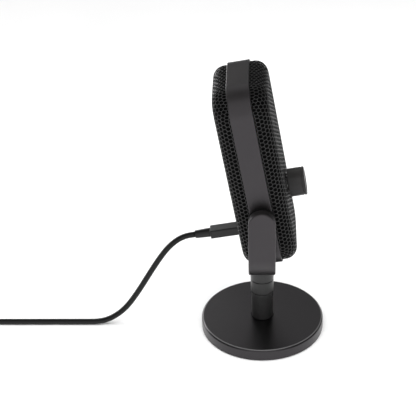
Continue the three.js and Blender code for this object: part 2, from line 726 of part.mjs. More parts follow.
function portPlate() {
  const flangeFar = face - MESH_WALL - SEAT;
  const flangeX = PORT_HALF_W + PORT_FLANGE;
  const flangeZ = PORT_HALF_H + PORT_FLANGE;
  const flangeOutline = roundedRect(flangeX, flangeZ, PORT_CORNER, PORT_Z);
  const flange = slab(flangeOutline, flangeFar - PORT_FLANGE_T, flangeFar);
  const plateOutline = roundedRect(PORT_HALF_W, PORT_HALF_H, PORT_CORNER, PORT_Z);
  const plate = slab(plateOutline, flangeFar - PORT_JOIN, face);
  const wide = JACK_HALF_W + FIT + JACK_WALL + FIT;
  const high = JACK_HALF_H + FIT + JACK_WALL + FIT;
  return cut(join(flange, plate), slab(roundedRect(wide, high, JACK_CORNER + JACK_WALL, PORT_Z), 0, BODY_D));
}

function jackPiece() {
  const wide = JACK_HALF_W + FIT;
  const high = JACK_HALF_H + FIT;
  const outer = roundedRect(wide + JACK_WALL, high + JACK_WALL, JACK_CORNER + JACK_WALL, PORT_Z);
  const inner = slab(roundedRect(wide, high, JACK_CORNER, PORT_Z), jackStart + JACK_FLOOR, jackEnd + OVERCUT);
  return cut(slab(outer, jackStart, jackEnd), inner);
}

function addPort(parent) {
  piece(parent, "port_plate", blackPlastic, portPlate());
  piece(parent, "usb_jack", bareSteel, jackPiece());
  const board = roundedRect(PORT_BOARD_HALF_W, PORT_BOARD_HALF_H, PORT_BOARD_CORNER, PORT_Z);
  piece(parent, "port_board", greenBoard, slab(board, portBoardNear, portBoardFar));
}

function addPlug(parent) {
  const tip = slab(roundedRect(JACK_HALF_W, JACK_HALF_H, TIP_CORNER, PORT_Z), tipStart, tipEnd);
  piece(parent, "usb_plug_tip", bareSteel, tip);
  const shell = roundedRect(PLUG_HALF_W, PLUG_HALF_H, PLUG_CORNER, PORT_Z);
  piece(parent, "usb_plug", blackPlastic, slab(shell, plugStart, plugEnd, PLUG_EDGE));
  const relief = [
    [0, reliefStart], [RELIEF_R, reliefStart], [CORD_R + RELIEF_LIP, reliefStart + RELIEF_LEN],
    [0, reliefStart + RELIEF_LEN],
  ];
  const shape = turned(relief, "y", ROUND_STEPS / 2).translate(0, 0, PORT_Z);
  piece(parent, "strain_relief", blackRubber, shape);
}

function cordTube(points) {
  const curve = new THREE.CatmullRomCurve3(points.map((p) => new THREE.Vector3(...p)));
  const section = new THREE.Shape().absarc(0, 0, CORD_R, 0, 2 * Math.PI, false);
  return new THREE.ExtrudeGeometry(section, {
    steps: Math.ceil(curve.getLength() / CORD_STEP),
    curveSegments: CORD_SIDES / 2,
    extrudePath: curve,
  });
}

function addLead(parent) {
  const coilX = -(COIL_TURN_R + (COIL_COLUMNS - 1) * CORD_R);
  const wide = COIL_COLUMNS * CORD_R;
  const low = FLOOR_CLEAR + TIE_T + SEAT;
  const high = low + COIL_LAYERS * 2 * CORD_R;
  piece(parent, "cord", blackRubber, cordTube(CORD_POINTS));
  const coil = turned(ring(COIL_TURN_R - wide, COIL_TURN_R + wide, low, high, CORD_R / 2), "z");
  piece(parent, "cord_coil", blackRubber, coil.translate(coilX, COIL_Y, 0));
  piece(parent, "cord_tie", blackPlastic, tiePiece(wide, low, high).translate(coilX, COIL_Y, 0));
  piece(parent, "cord_tail", blackRubber, cordTube(TAIL_POINTS));
  addFarPlug(parent);
}

// A strap round the coil's turns where they run along X.
function tiePiece(wide, low, high) {
  const halfY = wide + SEAT + TIE_SLACK;
  const halfZ = (high - low) / 2 + SEAT;
  const outline = roundedRect(halfY + TIE_T, halfZ + TIE_T, TIE_CORNER + TIE_T);
  outline.holes.push(roundedRect(halfY, halfZ, TIE_CORNER));
  const strap = slab(outline, -TIE_W / 2, TIE_W / 2).rotateZ(Math.PI / 2);
  return strap.translate(0, COIL_TURN_R, (low + high) / 2);
}

// The plug on the lead's far end, drawn along +Y and then turned to lie along +X.
function addFarPlug(parent) {
  const end = TAIL_POINTS[TAIL_POINTS.length - 1];
  const place = (geometry) => geometry.rotateZ(-Math.PI / 2).translate(...end);
  const plug0 = SEAT + FAR_RELIEF_LEN + SEAT;
  const tip0 = plug0 + FAR_PLUG_LEN + SEAT;
  const relief = [
    [0, SEAT], [CORD_R + RELIEF_LIP, SEAT], [RELIEF_R, SEAT + FAR_RELIEF_LEN], [0, SEAT + FAR_RELIEF_LEN],
  ];
  const gripOutline = roundedRect(FAR_PLUG_HALF_W, FAR_PLUG_HALF_H, FAR_PLUG_CORNER);
  const grip = slab(gripOutline, plug0, plug0 + FAR_PLUG_LEN, PLUG_EDGE);
  const tipOutline = roundedRect(FAR_TIP_HALF_W, FAR_TIP_HALF_H, FAR_TIP_CORNER);
  const tip = slab(tipOutline, tip0, tip0 + FAR_TIP_LEN);
  piece(parent, "usb_a_relief", blackRubber, place(turned(relief, "y", ROUND_STEPS / 2)));
  piece(parent, "usb_a_plug", blackPlastic, place(grip));
  piece(parent, "usb_a_shell", bareSteel, place(tip));
}

// ---------------------------------------------------------------- assembly

const microphone = new THREE.Group();
addStand(microphone);
addYoke(microphone);

// The tilting body leans about the pivot. Its own pieces are drawn from its middle.
const tilting = new THREE.Group();
tilting.position.set(0, 0, pivotZ);
tilting.rotation.x = THREE.MathUtils.degToRad(-LEAN_DEG);
microphone.add(tilting);
const body = new THREE.Group();
body.position.set(0, 0, PIVOT_DROP);
tilting.add(body);
addFrame(body);
addShells(body);
addCapsule(body);
addBoard(body);
addKnob(body);
addPort(body);
addPlug(body);

addLead(microphone);

export default microphone;
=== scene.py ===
# %% [markdown]
# # A desktop microphone, piece by piece
# A flat body with a honeycomb mesh tilts in a U-shaped yoke. The yoke stands on a short pole and
# a heavy round base, and a thin USB lead leaves the back. The structure comes in as a fixed
# frame of named nodes and bodies. Every piece below is shaped round that frame, in metres, and
# rides on one of its bodies.

# %% Load the frame
import json
import math

import bmesh
import bpy
from mathutils import Matrix, Vector

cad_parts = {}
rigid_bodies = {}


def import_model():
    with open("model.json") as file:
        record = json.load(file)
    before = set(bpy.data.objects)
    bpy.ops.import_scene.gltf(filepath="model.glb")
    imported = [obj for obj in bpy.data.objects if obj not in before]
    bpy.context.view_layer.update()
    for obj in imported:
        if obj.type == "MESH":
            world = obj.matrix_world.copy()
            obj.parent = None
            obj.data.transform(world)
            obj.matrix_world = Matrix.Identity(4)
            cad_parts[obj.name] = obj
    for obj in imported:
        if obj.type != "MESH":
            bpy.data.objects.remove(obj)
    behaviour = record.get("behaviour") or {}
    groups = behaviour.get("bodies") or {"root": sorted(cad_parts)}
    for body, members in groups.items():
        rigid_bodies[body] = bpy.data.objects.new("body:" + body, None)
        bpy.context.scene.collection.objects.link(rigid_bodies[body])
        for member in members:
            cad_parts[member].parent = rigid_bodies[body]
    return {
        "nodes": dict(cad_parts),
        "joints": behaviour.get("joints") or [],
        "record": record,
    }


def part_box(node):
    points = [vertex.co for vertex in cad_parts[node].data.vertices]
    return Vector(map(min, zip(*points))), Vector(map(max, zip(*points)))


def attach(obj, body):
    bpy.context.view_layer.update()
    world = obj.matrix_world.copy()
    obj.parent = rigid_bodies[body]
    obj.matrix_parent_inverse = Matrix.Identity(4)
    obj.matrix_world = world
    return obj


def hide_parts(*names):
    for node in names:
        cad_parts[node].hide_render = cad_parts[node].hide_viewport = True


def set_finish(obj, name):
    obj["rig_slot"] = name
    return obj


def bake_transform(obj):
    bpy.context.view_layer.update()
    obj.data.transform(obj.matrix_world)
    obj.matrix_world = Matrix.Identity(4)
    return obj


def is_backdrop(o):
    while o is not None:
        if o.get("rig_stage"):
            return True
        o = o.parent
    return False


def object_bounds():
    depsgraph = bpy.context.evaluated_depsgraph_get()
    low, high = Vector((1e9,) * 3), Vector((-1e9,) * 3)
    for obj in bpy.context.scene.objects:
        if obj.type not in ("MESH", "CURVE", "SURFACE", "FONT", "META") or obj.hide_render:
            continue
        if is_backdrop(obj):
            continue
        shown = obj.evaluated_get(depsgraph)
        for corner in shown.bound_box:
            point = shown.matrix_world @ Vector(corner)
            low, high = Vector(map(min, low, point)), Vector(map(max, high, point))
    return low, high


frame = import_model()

cad_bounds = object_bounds()

# %% [markdown]
# ## Where things are
# The body leans back about the tilt joint. Working in the body's own directions is far easier
# than working with slanted numbers, so the lean is read from the joints, and one matrix puts
# straight pieces in their leaning place.

# %% The leaning body's own directions
MM = 0.001
joints = {joint["name"]: joint for joint in frame["joints"]}
knob_axis = Vector(joints["knob_push"]["axis"])
lean = math.atan2(-knob_axis.z, knob_axis.y)
pivot = Vector(joints["mic_tilt"]["pos_m"])
at_pivot = Matrix.Translation(pivot) @ Matrix.Rotation(-lean, 4, "X")


def leaning_box(node):
    """A node's lowest and highest corner, seen from the pivot in the body's own directions."""
    back = at_pivot.inverted()
    corners = [back @ v.co for v in frame["nodes"][node].data.vertices]
    low = Vector(min(c[i] for c in corners) for i in range(3))
    high = Vector(max(c[i] for c in corners) for i in range(3))
    return low, high


band_low, band_high = leaning_box("frame_band")
body_middle = (band_low + band_high) / 2
at_body = at_pivot @ Matrix.Translation(body_middle)
print("lean %.2f degrees, body middle %.1f mm above the pivot" % (math.degrees(lean), body_middle.z / MM))

# %% [markdown]
# ## The camera
# A long lens from above and to one side keeps the microphone's lines nearly parallel. The camera
# looks down at about 32 degrees, with a small turn and roll. A camera's axes are its right, its
# up and its backward direction, so those three make its matrix.

# %% Camera
camera_spot = Vector((-1.0, 0.0, 0.7397))
pitch, yaw, roll = math.radians(31.57), math.radians(2.673), math.radians(-1.63)
look = Vector((math.cos(pitch) * math.cos(yaw), math.cos(pitch) * math.sin(yaw), -math.sin(pitch)))
level = look.cross(Vector((0, 0, 1))).normalized()
upright = level.cross(look)
right = level * math.cos(roll) + upright * math.sin(roll)
up = upright * math.cos(roll) - level * math.sin(roll)
camera = bpy.data.objects.new("camera", bpy.data.cameras.new("camera"))
camera.data.lens = 117.1
camera.data.sensor_width = 36
camera.data.clip_end = 20
camera.matrix_world = Matrix.Translation(camera_spot) @ Matrix((right, up, -look)).transposed().to_4x4()
bpy.context.scene.collection.objects.link(camera)
bpy.context.scene.camera = camera
print("camera %.2f m from the pole" % camera_spot.length)

# %% [markdown]
# ## Helpers for making meshes
# Most of these pieces are turned, or are a rounded rectangle made thick. Both can be written as
# a stack of closed loops joined by quads. A profile's corners are eased with a short curve,
# because real edges catch the light. Weighted normals keep the flat faces flat.


# %% A mesh from points and faces
def make_piece(name, points, faces, place=Matrix(), crease=32):
    mesh = bpy.data.meshes.new(name)
    mesh.from_pydata([place @ Vector(p) for p in points], [], faces)
    shaped = bmesh.new()
    shaped.from_mesh(mesh)
    bmesh.ops.recalc_face_normals(shaped, faces=shaped.faces)
    shaped.to_mesh(mesh)
    shaped.free()
    mesh.shade_smooth()
    mesh.set_sharp_from_angle(angle=math.radians(crease))
    piece = bpy.data.objects.new(name, mesh)
    bpy.context.scene.collection.objects.link(piece)
    if crease < 180:
        weights = piece.modifiers.new("flat faces stay flat", "WEIGHTED_NORMAL")
        weights.keep_sharp = True
    return piece


def join_loops(loops, close_ends=True, ring=False):
    """Points and faces of a skin over loops that all have as many points. One point is an end."""
    points, rows, faces = [], [], []
    for loop in loops:
        rows.append(range(len(points), len(points) + len(loop)))
        points.extend(loop)
    count = max(len(row) for row in rows)
    pairs = list(zip(rows, rows[1:])) + ([(rows[-1], rows[0])] if ring else [])
    for low, high in pairs:
        for i in range(count):
            j = (i + 1) % count
            corners = [low[i % len(low)], low[j % len(low)], high[j % len(high)], high[i % len(high)]]
            faces.append(list(dict.fromkeys(corners)))
    if close_ends and not ring:
        faces.extend(list(row) for row in (rows[0], rows[-1]) if len(row) > 2)
    return points, [face for face in faces if len(face) > 2]


# %% Eased corners and turned pieces
EASE_STEPS = 5


def eased(corners):
    """Corners as (across, along, ease); each ease rounds its corner over that distance."""
    path = []
    for i, (u, v, ease) in enumerate(corners):
        corner = Vector((u, v))
        if not ease:
            path.append(corner)
            continue
        before = Vector(corners[i - 1][:2]) - corner
        after = Vector(corners[(i + 1) % len(corners)][:2]) - corner
        start = corner + before.normalized() * ease
        end = corner + after.normalized() * ease
        for k in range(EASE_STEPS + 1):
            t = k / EASE_STEPS
            path.append(start * (1 - t) ** 2 + corner * (2 * t * (1 - t)) + end * t * t)
    return path


def turned_piece(name, corners, place, steps=96, ring=False):
    """A profile of (radius, height, ease) turned about its own Z."""
    loops = []
    for r, h in eased(corners):
        if r < 1e-7:
            loops.append([(0, 0, h)])
        else:
            angles = [2 * math.pi * i / steps for i in range(steps)]
            loops.append([(r * math.cos(a), r * math.sin(a), h) for a in angles])
    points, faces = join_loops(loops, ring=ring)
    return make_piece(name, points, faces, place)


# %% Rounded rectangles made thick
def rounded_loop(half_x, half_z, radius, y, steps=10):
    """A rounded rectangle's points in X and Z at one depth y."""
    loop = []
    for turn, (sx, sz) in enumerate(((1, -1), (1, 1), (-1, 1), (-1, -1))):
        for k in range(steps + 1):
            a = (turn - 1 + k / steps) * math.pi / 2
            x = sx * (half_x - radius) + radius * math.cos(a)
            z = sz * (half_z - radius) + radius * math.sin(a)
            loop.append((x, y, z))
    return loop


def slab_steps(y0, y1, edge, steps=4):
    """How far in and how deep each loop of a rounded-over slab is."""
    turns = [k / steps * math.pi / 2 for k in range(steps + 1)]
    near = [(edge * (1 - math.sin(a)), y0 + edge * (1 - math.cos(a))) for a in turns]
    far = [(edge * (1 - math.sin(a)), y1 - edge * (1 - math.cos(a))) for a in reversed(turns)]
    return near + far


def slab_piece(name, half_x, half_z, radius, y0, y1, edge, place, steps=10):
    loops = [
        rounded_loop(half_x - inset, half_z - inset, radius - inset, y, steps)
        for inset, y in slab_steps(y0, y1, edge)
    ]
    points, faces = join_loops(loops)
    return make_piece(name, points, faces, place)


def frame_piece(name, half_x, half_z, radius, wall, y0, y1, edge, place, steps=16):
    """A rounded rectangle with a rounded rectangular opening, made thick."""
    outside, inside = [], []
    for inset, y in slab_steps(y0, y1, edge):
        outside.append(rounded_loop(half_x - inset, half_z - inset, radius - inset, y, steps))
        grown = wall - inset
        inside.append(rounded_loop(half_x - grown, half_z - grown, radius - grown, y, steps))
    points, faces = join_loops(outside + inside[::-1], ring=True)
    return make_piece(name, points, faces, place)


print("mesh helpers ready")

# %% [markdown]
# ## The lead
# A free lead has a fixed length, so its route is settled before anything else. It leaves the
# plug's relief, droops to the table, and runs off to one side. What is left over is wound flat:
# four turns inwards, then four outwards on top of them. Its end crosses over the standing part
# in a low hump and finishes in a USB-A plug. The route is a short list of points joined by a
# smooth curve, and the coil's turns are worked out in a loop.

# %% The lead's route
CORD_R = 2.6 * MM
COIL_MIDDLE = Vector((-34.3, 304.0, 0)) * MM
COIL_COLUMNS = [34.3 * MM, 29.1 * MM, 23.9 * MM, 18.7 * MM]
LOW_LAYER, HIGH_LAYER = 2.7 * MM, 7.9 * MM
TURN_STEPS = 40
STRAP = 0.7 * MM

route_mm = [
    (0, 58.7, 97.4), (0, 63.8, 96.5), (0, 69.0, 94.8), (0, 74.5, 91.6), (0, 80.3, 86.4),
    (0, 85.7, 80.0), (0, 91.5, 71.4), (0, 97.3, 61.8), (0, 103.2, 51.6), (0, 109.1, 41.3),
    (0, 115.0, 31.6), (0, 121.1, 22.6), (0, 127.0, 15.7), (0, 132.9, 10.6), (0, 138.6, 6.9),
    (0, 144.4, 4.4), (0, 151.5, 3.0), (0, 159.0, 2.7), (0, 170.0, 2.7), (0, 190.0, 2.7),
    (0, 210.0, 2.7), (0, 230.0, 2.7), (0, 250.0, 2.7), (0, 270.0, 2.7), (0, 284.0, 2.7),
]
tail_mm = [
    (-14.5, 269.7, 8.0), (-7.0, 269.7, 8.4), (0, 269.7, 8.4), (7.0, 269.7, 7.4),
    (14.0, 269.7, 5.5), (21.0, 269.7, 4.4), (28.0, 269.7, 4.1),
]


def smooth_line(points, steps=5):
    """A Catmull-Rom curve through points, as more points."""
    line = []
    ends = [points[0] * 2 - points[1]] + points + [points[-1] * 2 - points[-2]]
    for a, b, c, d in zip(ends, ends[1:], ends[2:], ends[3:]):
        for k in range(steps):
            t = k / steps
            line.append(0.5 * (
                b * 2 + (c - a) * t + (a * 2 - b * 5 + c * 4 - d) * t ** 2
                + (b * 3 - a - c * 3 + d) * t ** 3
            ))
    return line + [points[-1]]


def ramp(value, start, end):
    t = min(max((value - start) / (end - start), 0), 1)
    return t * t * (3 - 2 * t)


def strap_lift(angle):
    """The turns rise a little where the strap passes under them."""
    away = abs((angle - math.pi / 2 + math.pi) % (2 * math.pi) - math.pi)
    return (STRAP + 0.3 * MM) * (1 - ramp(away, 0.25, 0.9))


def coil_point(angle):
    """The winding's point after this much turning: four columns inwards, then outwards on top."""
    columns = COIL_COLUMNS + COIL_COLUMNS[::-1]
    turn = int(angle // (2 * math.pi))
    part = angle - turn * 2 * math.pi
    here, after = columns[turn], columns[min(turn + 1, len(columns) - 1)]
    radius = here + (after - here) * ramp(part, math.radians(290), math.radians(355))
    climb = ramp(angle, 6 * math.pi + math.radians(225), 6 * math.pi + math.radians(295))
    height = LOW_LAYER + (HIGH_LAYER - LOW_LAYER) * climb + strap_lift(angle)
    return COIL_MIDDLE + Vector((radius * math.cos(angle), radius * math.sin(angle), height))


coil_end = 14 * math.pi + math.radians(262)
steps = int(coil_end / (2 * math.pi) * TURN_STEPS)
winding = [coil_point(coil_end * i / steps) for i in range(steps + 1)]
route = smooth_line([Vector(p) * MM for p in route_mm])
tail = smooth_line([Vector(p) * MM for p in tail_mm])
lead_line = route + winding + tail
lead_length = sum((b - a).length for a, b in zip(lead_line, lead_line[1:]))
print("lead %.3f m long, %d points" % (lead_length, len(lead_line)))

# %% [markdown]
# A tube along the route carries its ring from point to point without twisting it: each ring's
# side direction is the last one's, flattened against the new heading.


# %% The lead's tube
def tube_piece(name, line, radius, sides=14):
    loops = []
    side = Vector((1, 0, 0))
    for i, point in enumerate(line):
        heading = (line[min(i + 1, len(line) - 1)] - line[max(i - 1, 0)]).normalized()
        side = (side - heading * side.dot(heading)).normalized()
        other = heading.cross(side)
        angles = [2 * math.pi * k / sides for k in range(sides)]
        loops.append([point + (side * math.cos(a) + other * math.sin(a)) * radius for a in angles])
    points, faces = join_loops(loops)
    return make_piece(name, points, faces, crease=180)


lead = tube_piece("usb_lead", lead_line, CORD_R)
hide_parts("cord", "cord_coil", "cord_tail")
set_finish(lead, "cord_rubber")
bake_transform(lead)
print("lead tube: %d points" % len(lead.data.vertices))

# %% [markdown]
# ## The stand
# The base is a turned steel disc with a small bevel, on a rubber pad. A thin painted highlight
# line runs along the bevel's inner edge. The pole, the lock collar and the yoke's socket are turned
# too, with fine dark seams where they meet. Each profile is measured from its node, so the pieces
# stay on the frame.

# %% Base, pad and pole
EDGE_CHAMFER = 1.3 * MM
GAP = 0.3 * MM  # between pieces that fit together
SHANK_R = 3.2 * MM
SHANK_DEEP = 5 * MM
SEAT_R = 9.9 * MM
SEAT_DEEP = 0.5 * MM


def upright_box(node):
    low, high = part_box(node)
    return high.x, low.z, high.z


base_r, base_low, base_top = upright_box("base_disc")
pad_r, pad_low, pad_top = upright_box("base_pad")
bolt_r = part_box("base_bolt")[1].x

base = turned_piece("round_base", [
    (bolt_r + GAP, pad_top + GAP, 0), (pad_r + GAP, pad_top + GAP, 0),
    (pad_r + GAP, base_low, 0.2 * MM), (base_r, base_low, 0.5 * MM),
    (base_r, base_top - EDGE_CHAMFER, 0.6 * MM), (base_r - EDGE_CHAMFER, base_top, 0.2 * MM),
    (SEAT_R + 0.6 * MM, base_top, 0), (SEAT_R, base_top - SEAT_DEEP, 0),
    (SHANK_R, base_top - SEAT_DEEP, 0), (SHANK_R, base_top - SHANK_DEEP, 0),
    (bolt_r + GAP, base_top - SHANK_DEEP, 0),
], Matrix(), steps=180, ring=True)
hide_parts("base_disc")
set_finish(base, "base_coat")
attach(base, "base")

grooves = []
for i in range(5):
    middle = pad_r * (0.9 - 0.16 * i)
    grooves += [(middle + 1.2 * MM, 0, 0), (middle + 0.7 * MM, 0.5 * MM, 0),
                (middle - 0.7 * MM, 0.5 * MM, 0), (middle - 1.2 * MM, 0, 0)]
pad = turned_piece(
    "grip_pad", [(0, 0, 0)] + grooves[::-1] + [(pad_r, 0, 0.3 * MM), (pad_r, pad_top, 0), (0, pad_top, 0)],
    Matrix(), steps=120,
)
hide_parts("base_pad")
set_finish(pad, "black_rubber")
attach(pad, "base")

pole_r, pole_low, pole_top = upright_box("stand_pole")
pole = turned_piece("pole", [
    (0, pole_low, 0), (pole_r, pole_low, 0.4 * MM), (pole_r, pole_top, 0.5 * MM), (0, pole_top, 0),
], Matrix())
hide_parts("stand_pole")
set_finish(pole, "stand_coat")
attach(pole, "base")
print("base %.0f mm across, pole %.1f mm" % (base_r * 2 / MM, pole_r * 2 / MM))

# %% Lock collar and socket
GROOVE_LOW, GROOVE_HIGH, GROOVE_DEEP = 0.6 * MM, 1.2 * MM, 0.5 * MM
STUD_GRIP = 11.3 * MM
collar_r, collar_low, collar_top = upright_box("lock_collar")
stud_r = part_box("threaded_stud")[1].x
collar = turned_piece("swivel_collar", [
    (stud_r + GAP, collar_low, 0), (collar_r, collar_low, 0.3 * MM),
    (collar_r, collar_low + GROOVE_LOW, 0), (collar_r - GROOVE_DEEP, collar_low + GROOVE_LOW, 0),
    (collar_r - GROOVE_DEEP, collar_low + GROOVE_HIGH, 0), (collar_r, collar_low + GROOVE_HIGH, 0.2 * MM),
    (collar_r, collar_top, 0.7 * MM), (stud_r + GAP, collar_top, 0),
], Matrix(), ring=True)
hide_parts("lock_collar")
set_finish(collar, "stand_coat")
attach(collar, "collar")

socket_r, socket_low, socket_top = upright_box("yoke_socket")
socket = turned_piece("yoke_foot", [
    (stud_r + GAP, socket_low + STUD_GRIP, 0), (stud_r + GAP, socket_low, 0),
    (socket_r, socket_low, 0.6 * MM), (socket_r, socket_top, 0.4 * MM), (0, socket_top, 0),
    (0, socket_low + STUD_GRIP, 0),
], Matrix())
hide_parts("yoke_socket")
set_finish(socket, "stand_coat")
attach(socket, "yoke")
print("collar from %.1f to %.1f mm" % (collar_low / MM, collar_top / MM))

# %% [markdown]
# ## The yoke
# The yoke is one bent bar: thin under the body, thicker up the arms, with each arm ending in a
# full round about the pivot. Two plain extrusions say all of that: the U seen from the front and
# the arm seen from the side. What they share is the yoke, and a bevel rounds its long edges.

# %% Yoke outlines
yoke_low, yoke_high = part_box("yoke")
arm_half = (yoke_high.y - yoke_low.y) / 2
arm_outer = yoke_high.x
ARM_THICK = 8 * MM
BAR_THICK = 4.5 * MM
arm_inner = arm_outer - ARM_THICK
bar_top = yoke_low.z + BAR_THICK
YOKE_CORNER = 28 * MM
YOKE_INNER_CORNER = 22 * MM
YOKE_EDGE = 1.4 * MM


def arc(cx, cz, radius, start, end, steps=28):
    angles = [math.radians(start + (end - start) * k / steps) for k in range(steps + 1)]
    return [(cx + radius * math.cos(a), cz + radius * math.sin(a)) for a in angles]


def yoke_outline():
    out_x, out_z = arm_outer - YOKE_CORNER, yoke_low.z + YOKE_CORNER
    in_x, in_z = arm_inner - YOKE_INNER_CORNER, bar_top + YOKE_INNER_CORNER
    tip = yoke_high.z + 5 * MM
    return (
        [(-arm_inner, tip), (-arm_outer, tip)] + arc(-out_x, out_z, YOKE_CORNER, 180, 270)
        + arc(out_x, out_z, YOKE_CORNER, 270, 360) + [(arm_outer, tip), (arm_inner, tip)]
        + arc(in_x, in_z, YOKE_INNER_CORNER, 0, -90) + arc(-in_x, in_z, YOKE_INNER_CORNER, -90, -180)
    )


def extruded(name, outline, thick, place):
    count = len(outline)
    points = [(x, y, z) for y in (-thick, thick) for x, z in outline]
    sides = [[i, (i + 1) % count, count + (i + 1) % count, count + i] for i in range(count)]
    faces = sides + [list(range(count)), list(range(count, 2 * count))]
    return make_piece(name, points, faces, place, crease=180)


# %% Shape the yoke
yoke = extruded("swivel_yoke", yoke_outline(), arm_half, Matrix())
side_view = [(-arm_half, yoke_low.z - 20 * MM), (arm_half, yoke_low.z - 20 * MM)]
side_view += arc(0, pivot.z, arm_half, 0, 180, steps=40)
side = extruded("arm_side", side_view, arm_outer + 10 * MM, Matrix.Rotation(math.pi / 2, 4, "Z"))


def keep_result(piece):
    """Replaces a piece's mesh by what its modifiers make of it."""
    evaluated = piece.evaluated_get(bpy.context.evaluated_depsgraph_get())
    mesh = bpy.data.meshes.new_from_object(evaluated)
    piece.modifiers.clear()
    piece.data = mesh


shared = yoke.modifiers.new("shared shape", "BOOLEAN")
shared.operation = "INTERSECT"
shared.solver = "EXACT"
shared.object = side
keep_result(yoke)
bpy.data.objects.remove(side)
rounding = yoke.modifiers.new("soft edges", "BEVEL")
rounding.width = YOKE_EDGE
rounding.segments = 5
rounding.limit_method = "ANGLE"
rounding.angle_limit = math.radians(50)
rounding.use_clamp_overlap = False
keep_result(yoke)
yoke.data.shade_smooth()
yoke.modifiers.new("flat faces stay flat", "WEIGHTED_NORMAL")
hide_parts("yoke")
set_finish(yoke, "frame_coat")
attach(yoke, "yoke")
print("yoke: %d faces" % len(yoke.data.polygons))

# %% [markdown]
# Rubber washers fill the slots between the arms and the body. They are what holds the tilt. Each
# has a stepped rim, so that the arm's round end shows as a few dark rings against the body.

# %% Tilt washers
washer_low, washer_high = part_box("tilt_washer_right")
washer_r = washer_high.z - pivot.z
WASHER_HOLE = 4.3 * MM
WASHER_STEP = 0.8 * MM
for side_name, turn in (("right", 90), ("left", -90)):
    place = Matrix.Translation(pivot) @ Matrix.Rotation(math.radians(turn), 4, "Y")
    washer = turned_piece("washer_" + side_name, [
        (WASHER_HOLE, washer_low.x, 0), (washer_r, washer_low.x, 0.3 * MM),
        (washer_r, washer_low.x + 1.1 * MM, 0.2 * MM),
        (washer_r - WASHER_STEP, washer_low.x + 1.3 * MM, 0),
        (washer_r - WASHER_STEP, washer_high.x, 0), (WASHER_HOLE, washer_high.x, 0),
    ], place, steps=72, ring=True)
    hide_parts("tilt_washer_" + side_name)
    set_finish(washer, "black_rubber")
    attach(washer, "yoke")
print("washers %.1f mm across" % (washer_r * 2 / MM))

# %% [markdown]
# ## The band round the body
# A flat painted band runs round the body's sides, top and bottom, a little proud of the mesh. It
# is a rounded rectangle with a rounded opening, made thick, with softened edges.

# %% Frame band
BAND_WALL = 3.5 * MM
BAND_CORNER = 22.5 * MM
band_half = (band_high - band_low) / 2
band = frame_piece(
    "body_band", band_half.x, band_half.z, BAND_CORNER, BAND_WALL,
    -band_half.y, band_half.y, 0.7 * MM, at_body, steps=24,
)
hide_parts("frame_band")
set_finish(band, "frame_coat")
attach(band, "mic")
print("band %.0f by %.0f mm, %.0f wide" % tuple(2 * v / MM for v in (band_half.x, band_half.z, band_half.y)))

# %% [markdown]
# ## The honeycomb mesh
# Each half of the grille is a steel sheet punched with hexagonal holes and pressed into a
# shallow pan. A picture of holes would be flat from the side, so here every hole is real. The
# sheet is laid out flat as a honeycomb, and each point is then folded over the pan: flat on the
# face, round the edge, down the wall. At the pan's corners the fold turns about the corner's
# centre, so the holes draw in there as they do in pressed steel.

# %% Fold a flat sheet over the pan
pan_low, pan_high = leaning_box("front_grille")
PAN_X = pan_high.x
PAN_Z = (pan_high.z - pan_low.z) / 2
PAN_Y = -pan_low.y
CORNER = 20.7 * MM
FOLD = 10.4 * MM
BURIED = 1.2 * MM
flat_part = CORNER - FOLD
fold_length = FOLD * math.pi / 2
wall_length = PAN_Y - FOLD - band_half.y + BURIED
sheet_reach = flat_part + fold_length + wall_length


def across_fold(run, depth):
    """How far out and how far forward a point is after `run` of sheet, `depth` under its skin."""
    if run <= flat_part:
        return run, PAN_Y - depth
    if run <= flat_part + fold_length:
        angle = (run - flat_part) / FOLD
        reach = FOLD - depth
        return flat_part + reach * math.sin(angle), PAN_Y - FOLD + reach * math.cos(angle)
    return CORNER - depth, PAN_Y - FOLD - (run - flat_part - fold_length)


def on_pan(u, v, depth):
    """A point of the flat sheet, pressed into the pan whose face looks along -Y."""
    core_u, core_v = PAN_X - CORNER, PAN_Z - CORNER
    over_u, over_v = max(abs(u) - core_u, 0), max(abs(v) - core_v, 0)
    run = min(math.hypot(over_u, over_v), sheet_reach)
    if run < 1e-9:
        return u, -(PAN_Y - depth), v
    out, forward = across_fold(run, depth)
    scale = out / math.hypot(over_u, over_v)
    x = math.copysign(min(abs(u), core_u) + over_u * scale, u)
    z = math.copysign(min(abs(v), core_v) + over_v * scale, v)
    return x, -forward, z


def sheet_run(u, v):
    return math.hypot(max(abs(u) - (PAN_X - CORNER), 0), max(abs(v) - (PAN_Z - CORNER), 0))


# %% [markdown]
# The holes stand in columns that run along the band, each column half a step from the next. A
# hole is a stack of four hexagons: the shared outer one, the edge of a small chamfer, the hole
# itself, and the shared one again on the back. Edges that only one cell uses are the sheet's
# border, and get a wall, so the sheet is a closed solid.

# %% Punch the honeycomb
PITCH = 3.8 * MM
HOLE = 1.66 * MM
CHAMFER = 0.1 * MM
SHEET = 0.6 * MM
COLUMN = PITCH * math.sqrt(3) / 2
hexagon = [(math.cos(math.radians(60 * k)), math.sin(math.radians(60 * k))) for k in range(6)]


def cell_centres(keep_cell):
    across = int((PAN_X + 25 * MM) / COLUMN) + 1
    along = int((PAN_Z + 25 * MM) / PITCH) + 1
    for i in range(-across, across + 1):
        shift = PITCH / 2 if i % 2 else 0
        for j in range(-along, along + 1):
            u, v = i * COLUMN, j * PITCH + shift
            if sheet_run(u, v) < sheet_reach + PITCH * 0.3 and keep_cell(u, v):
                yield i, 2 * j + (i % 2), u, v


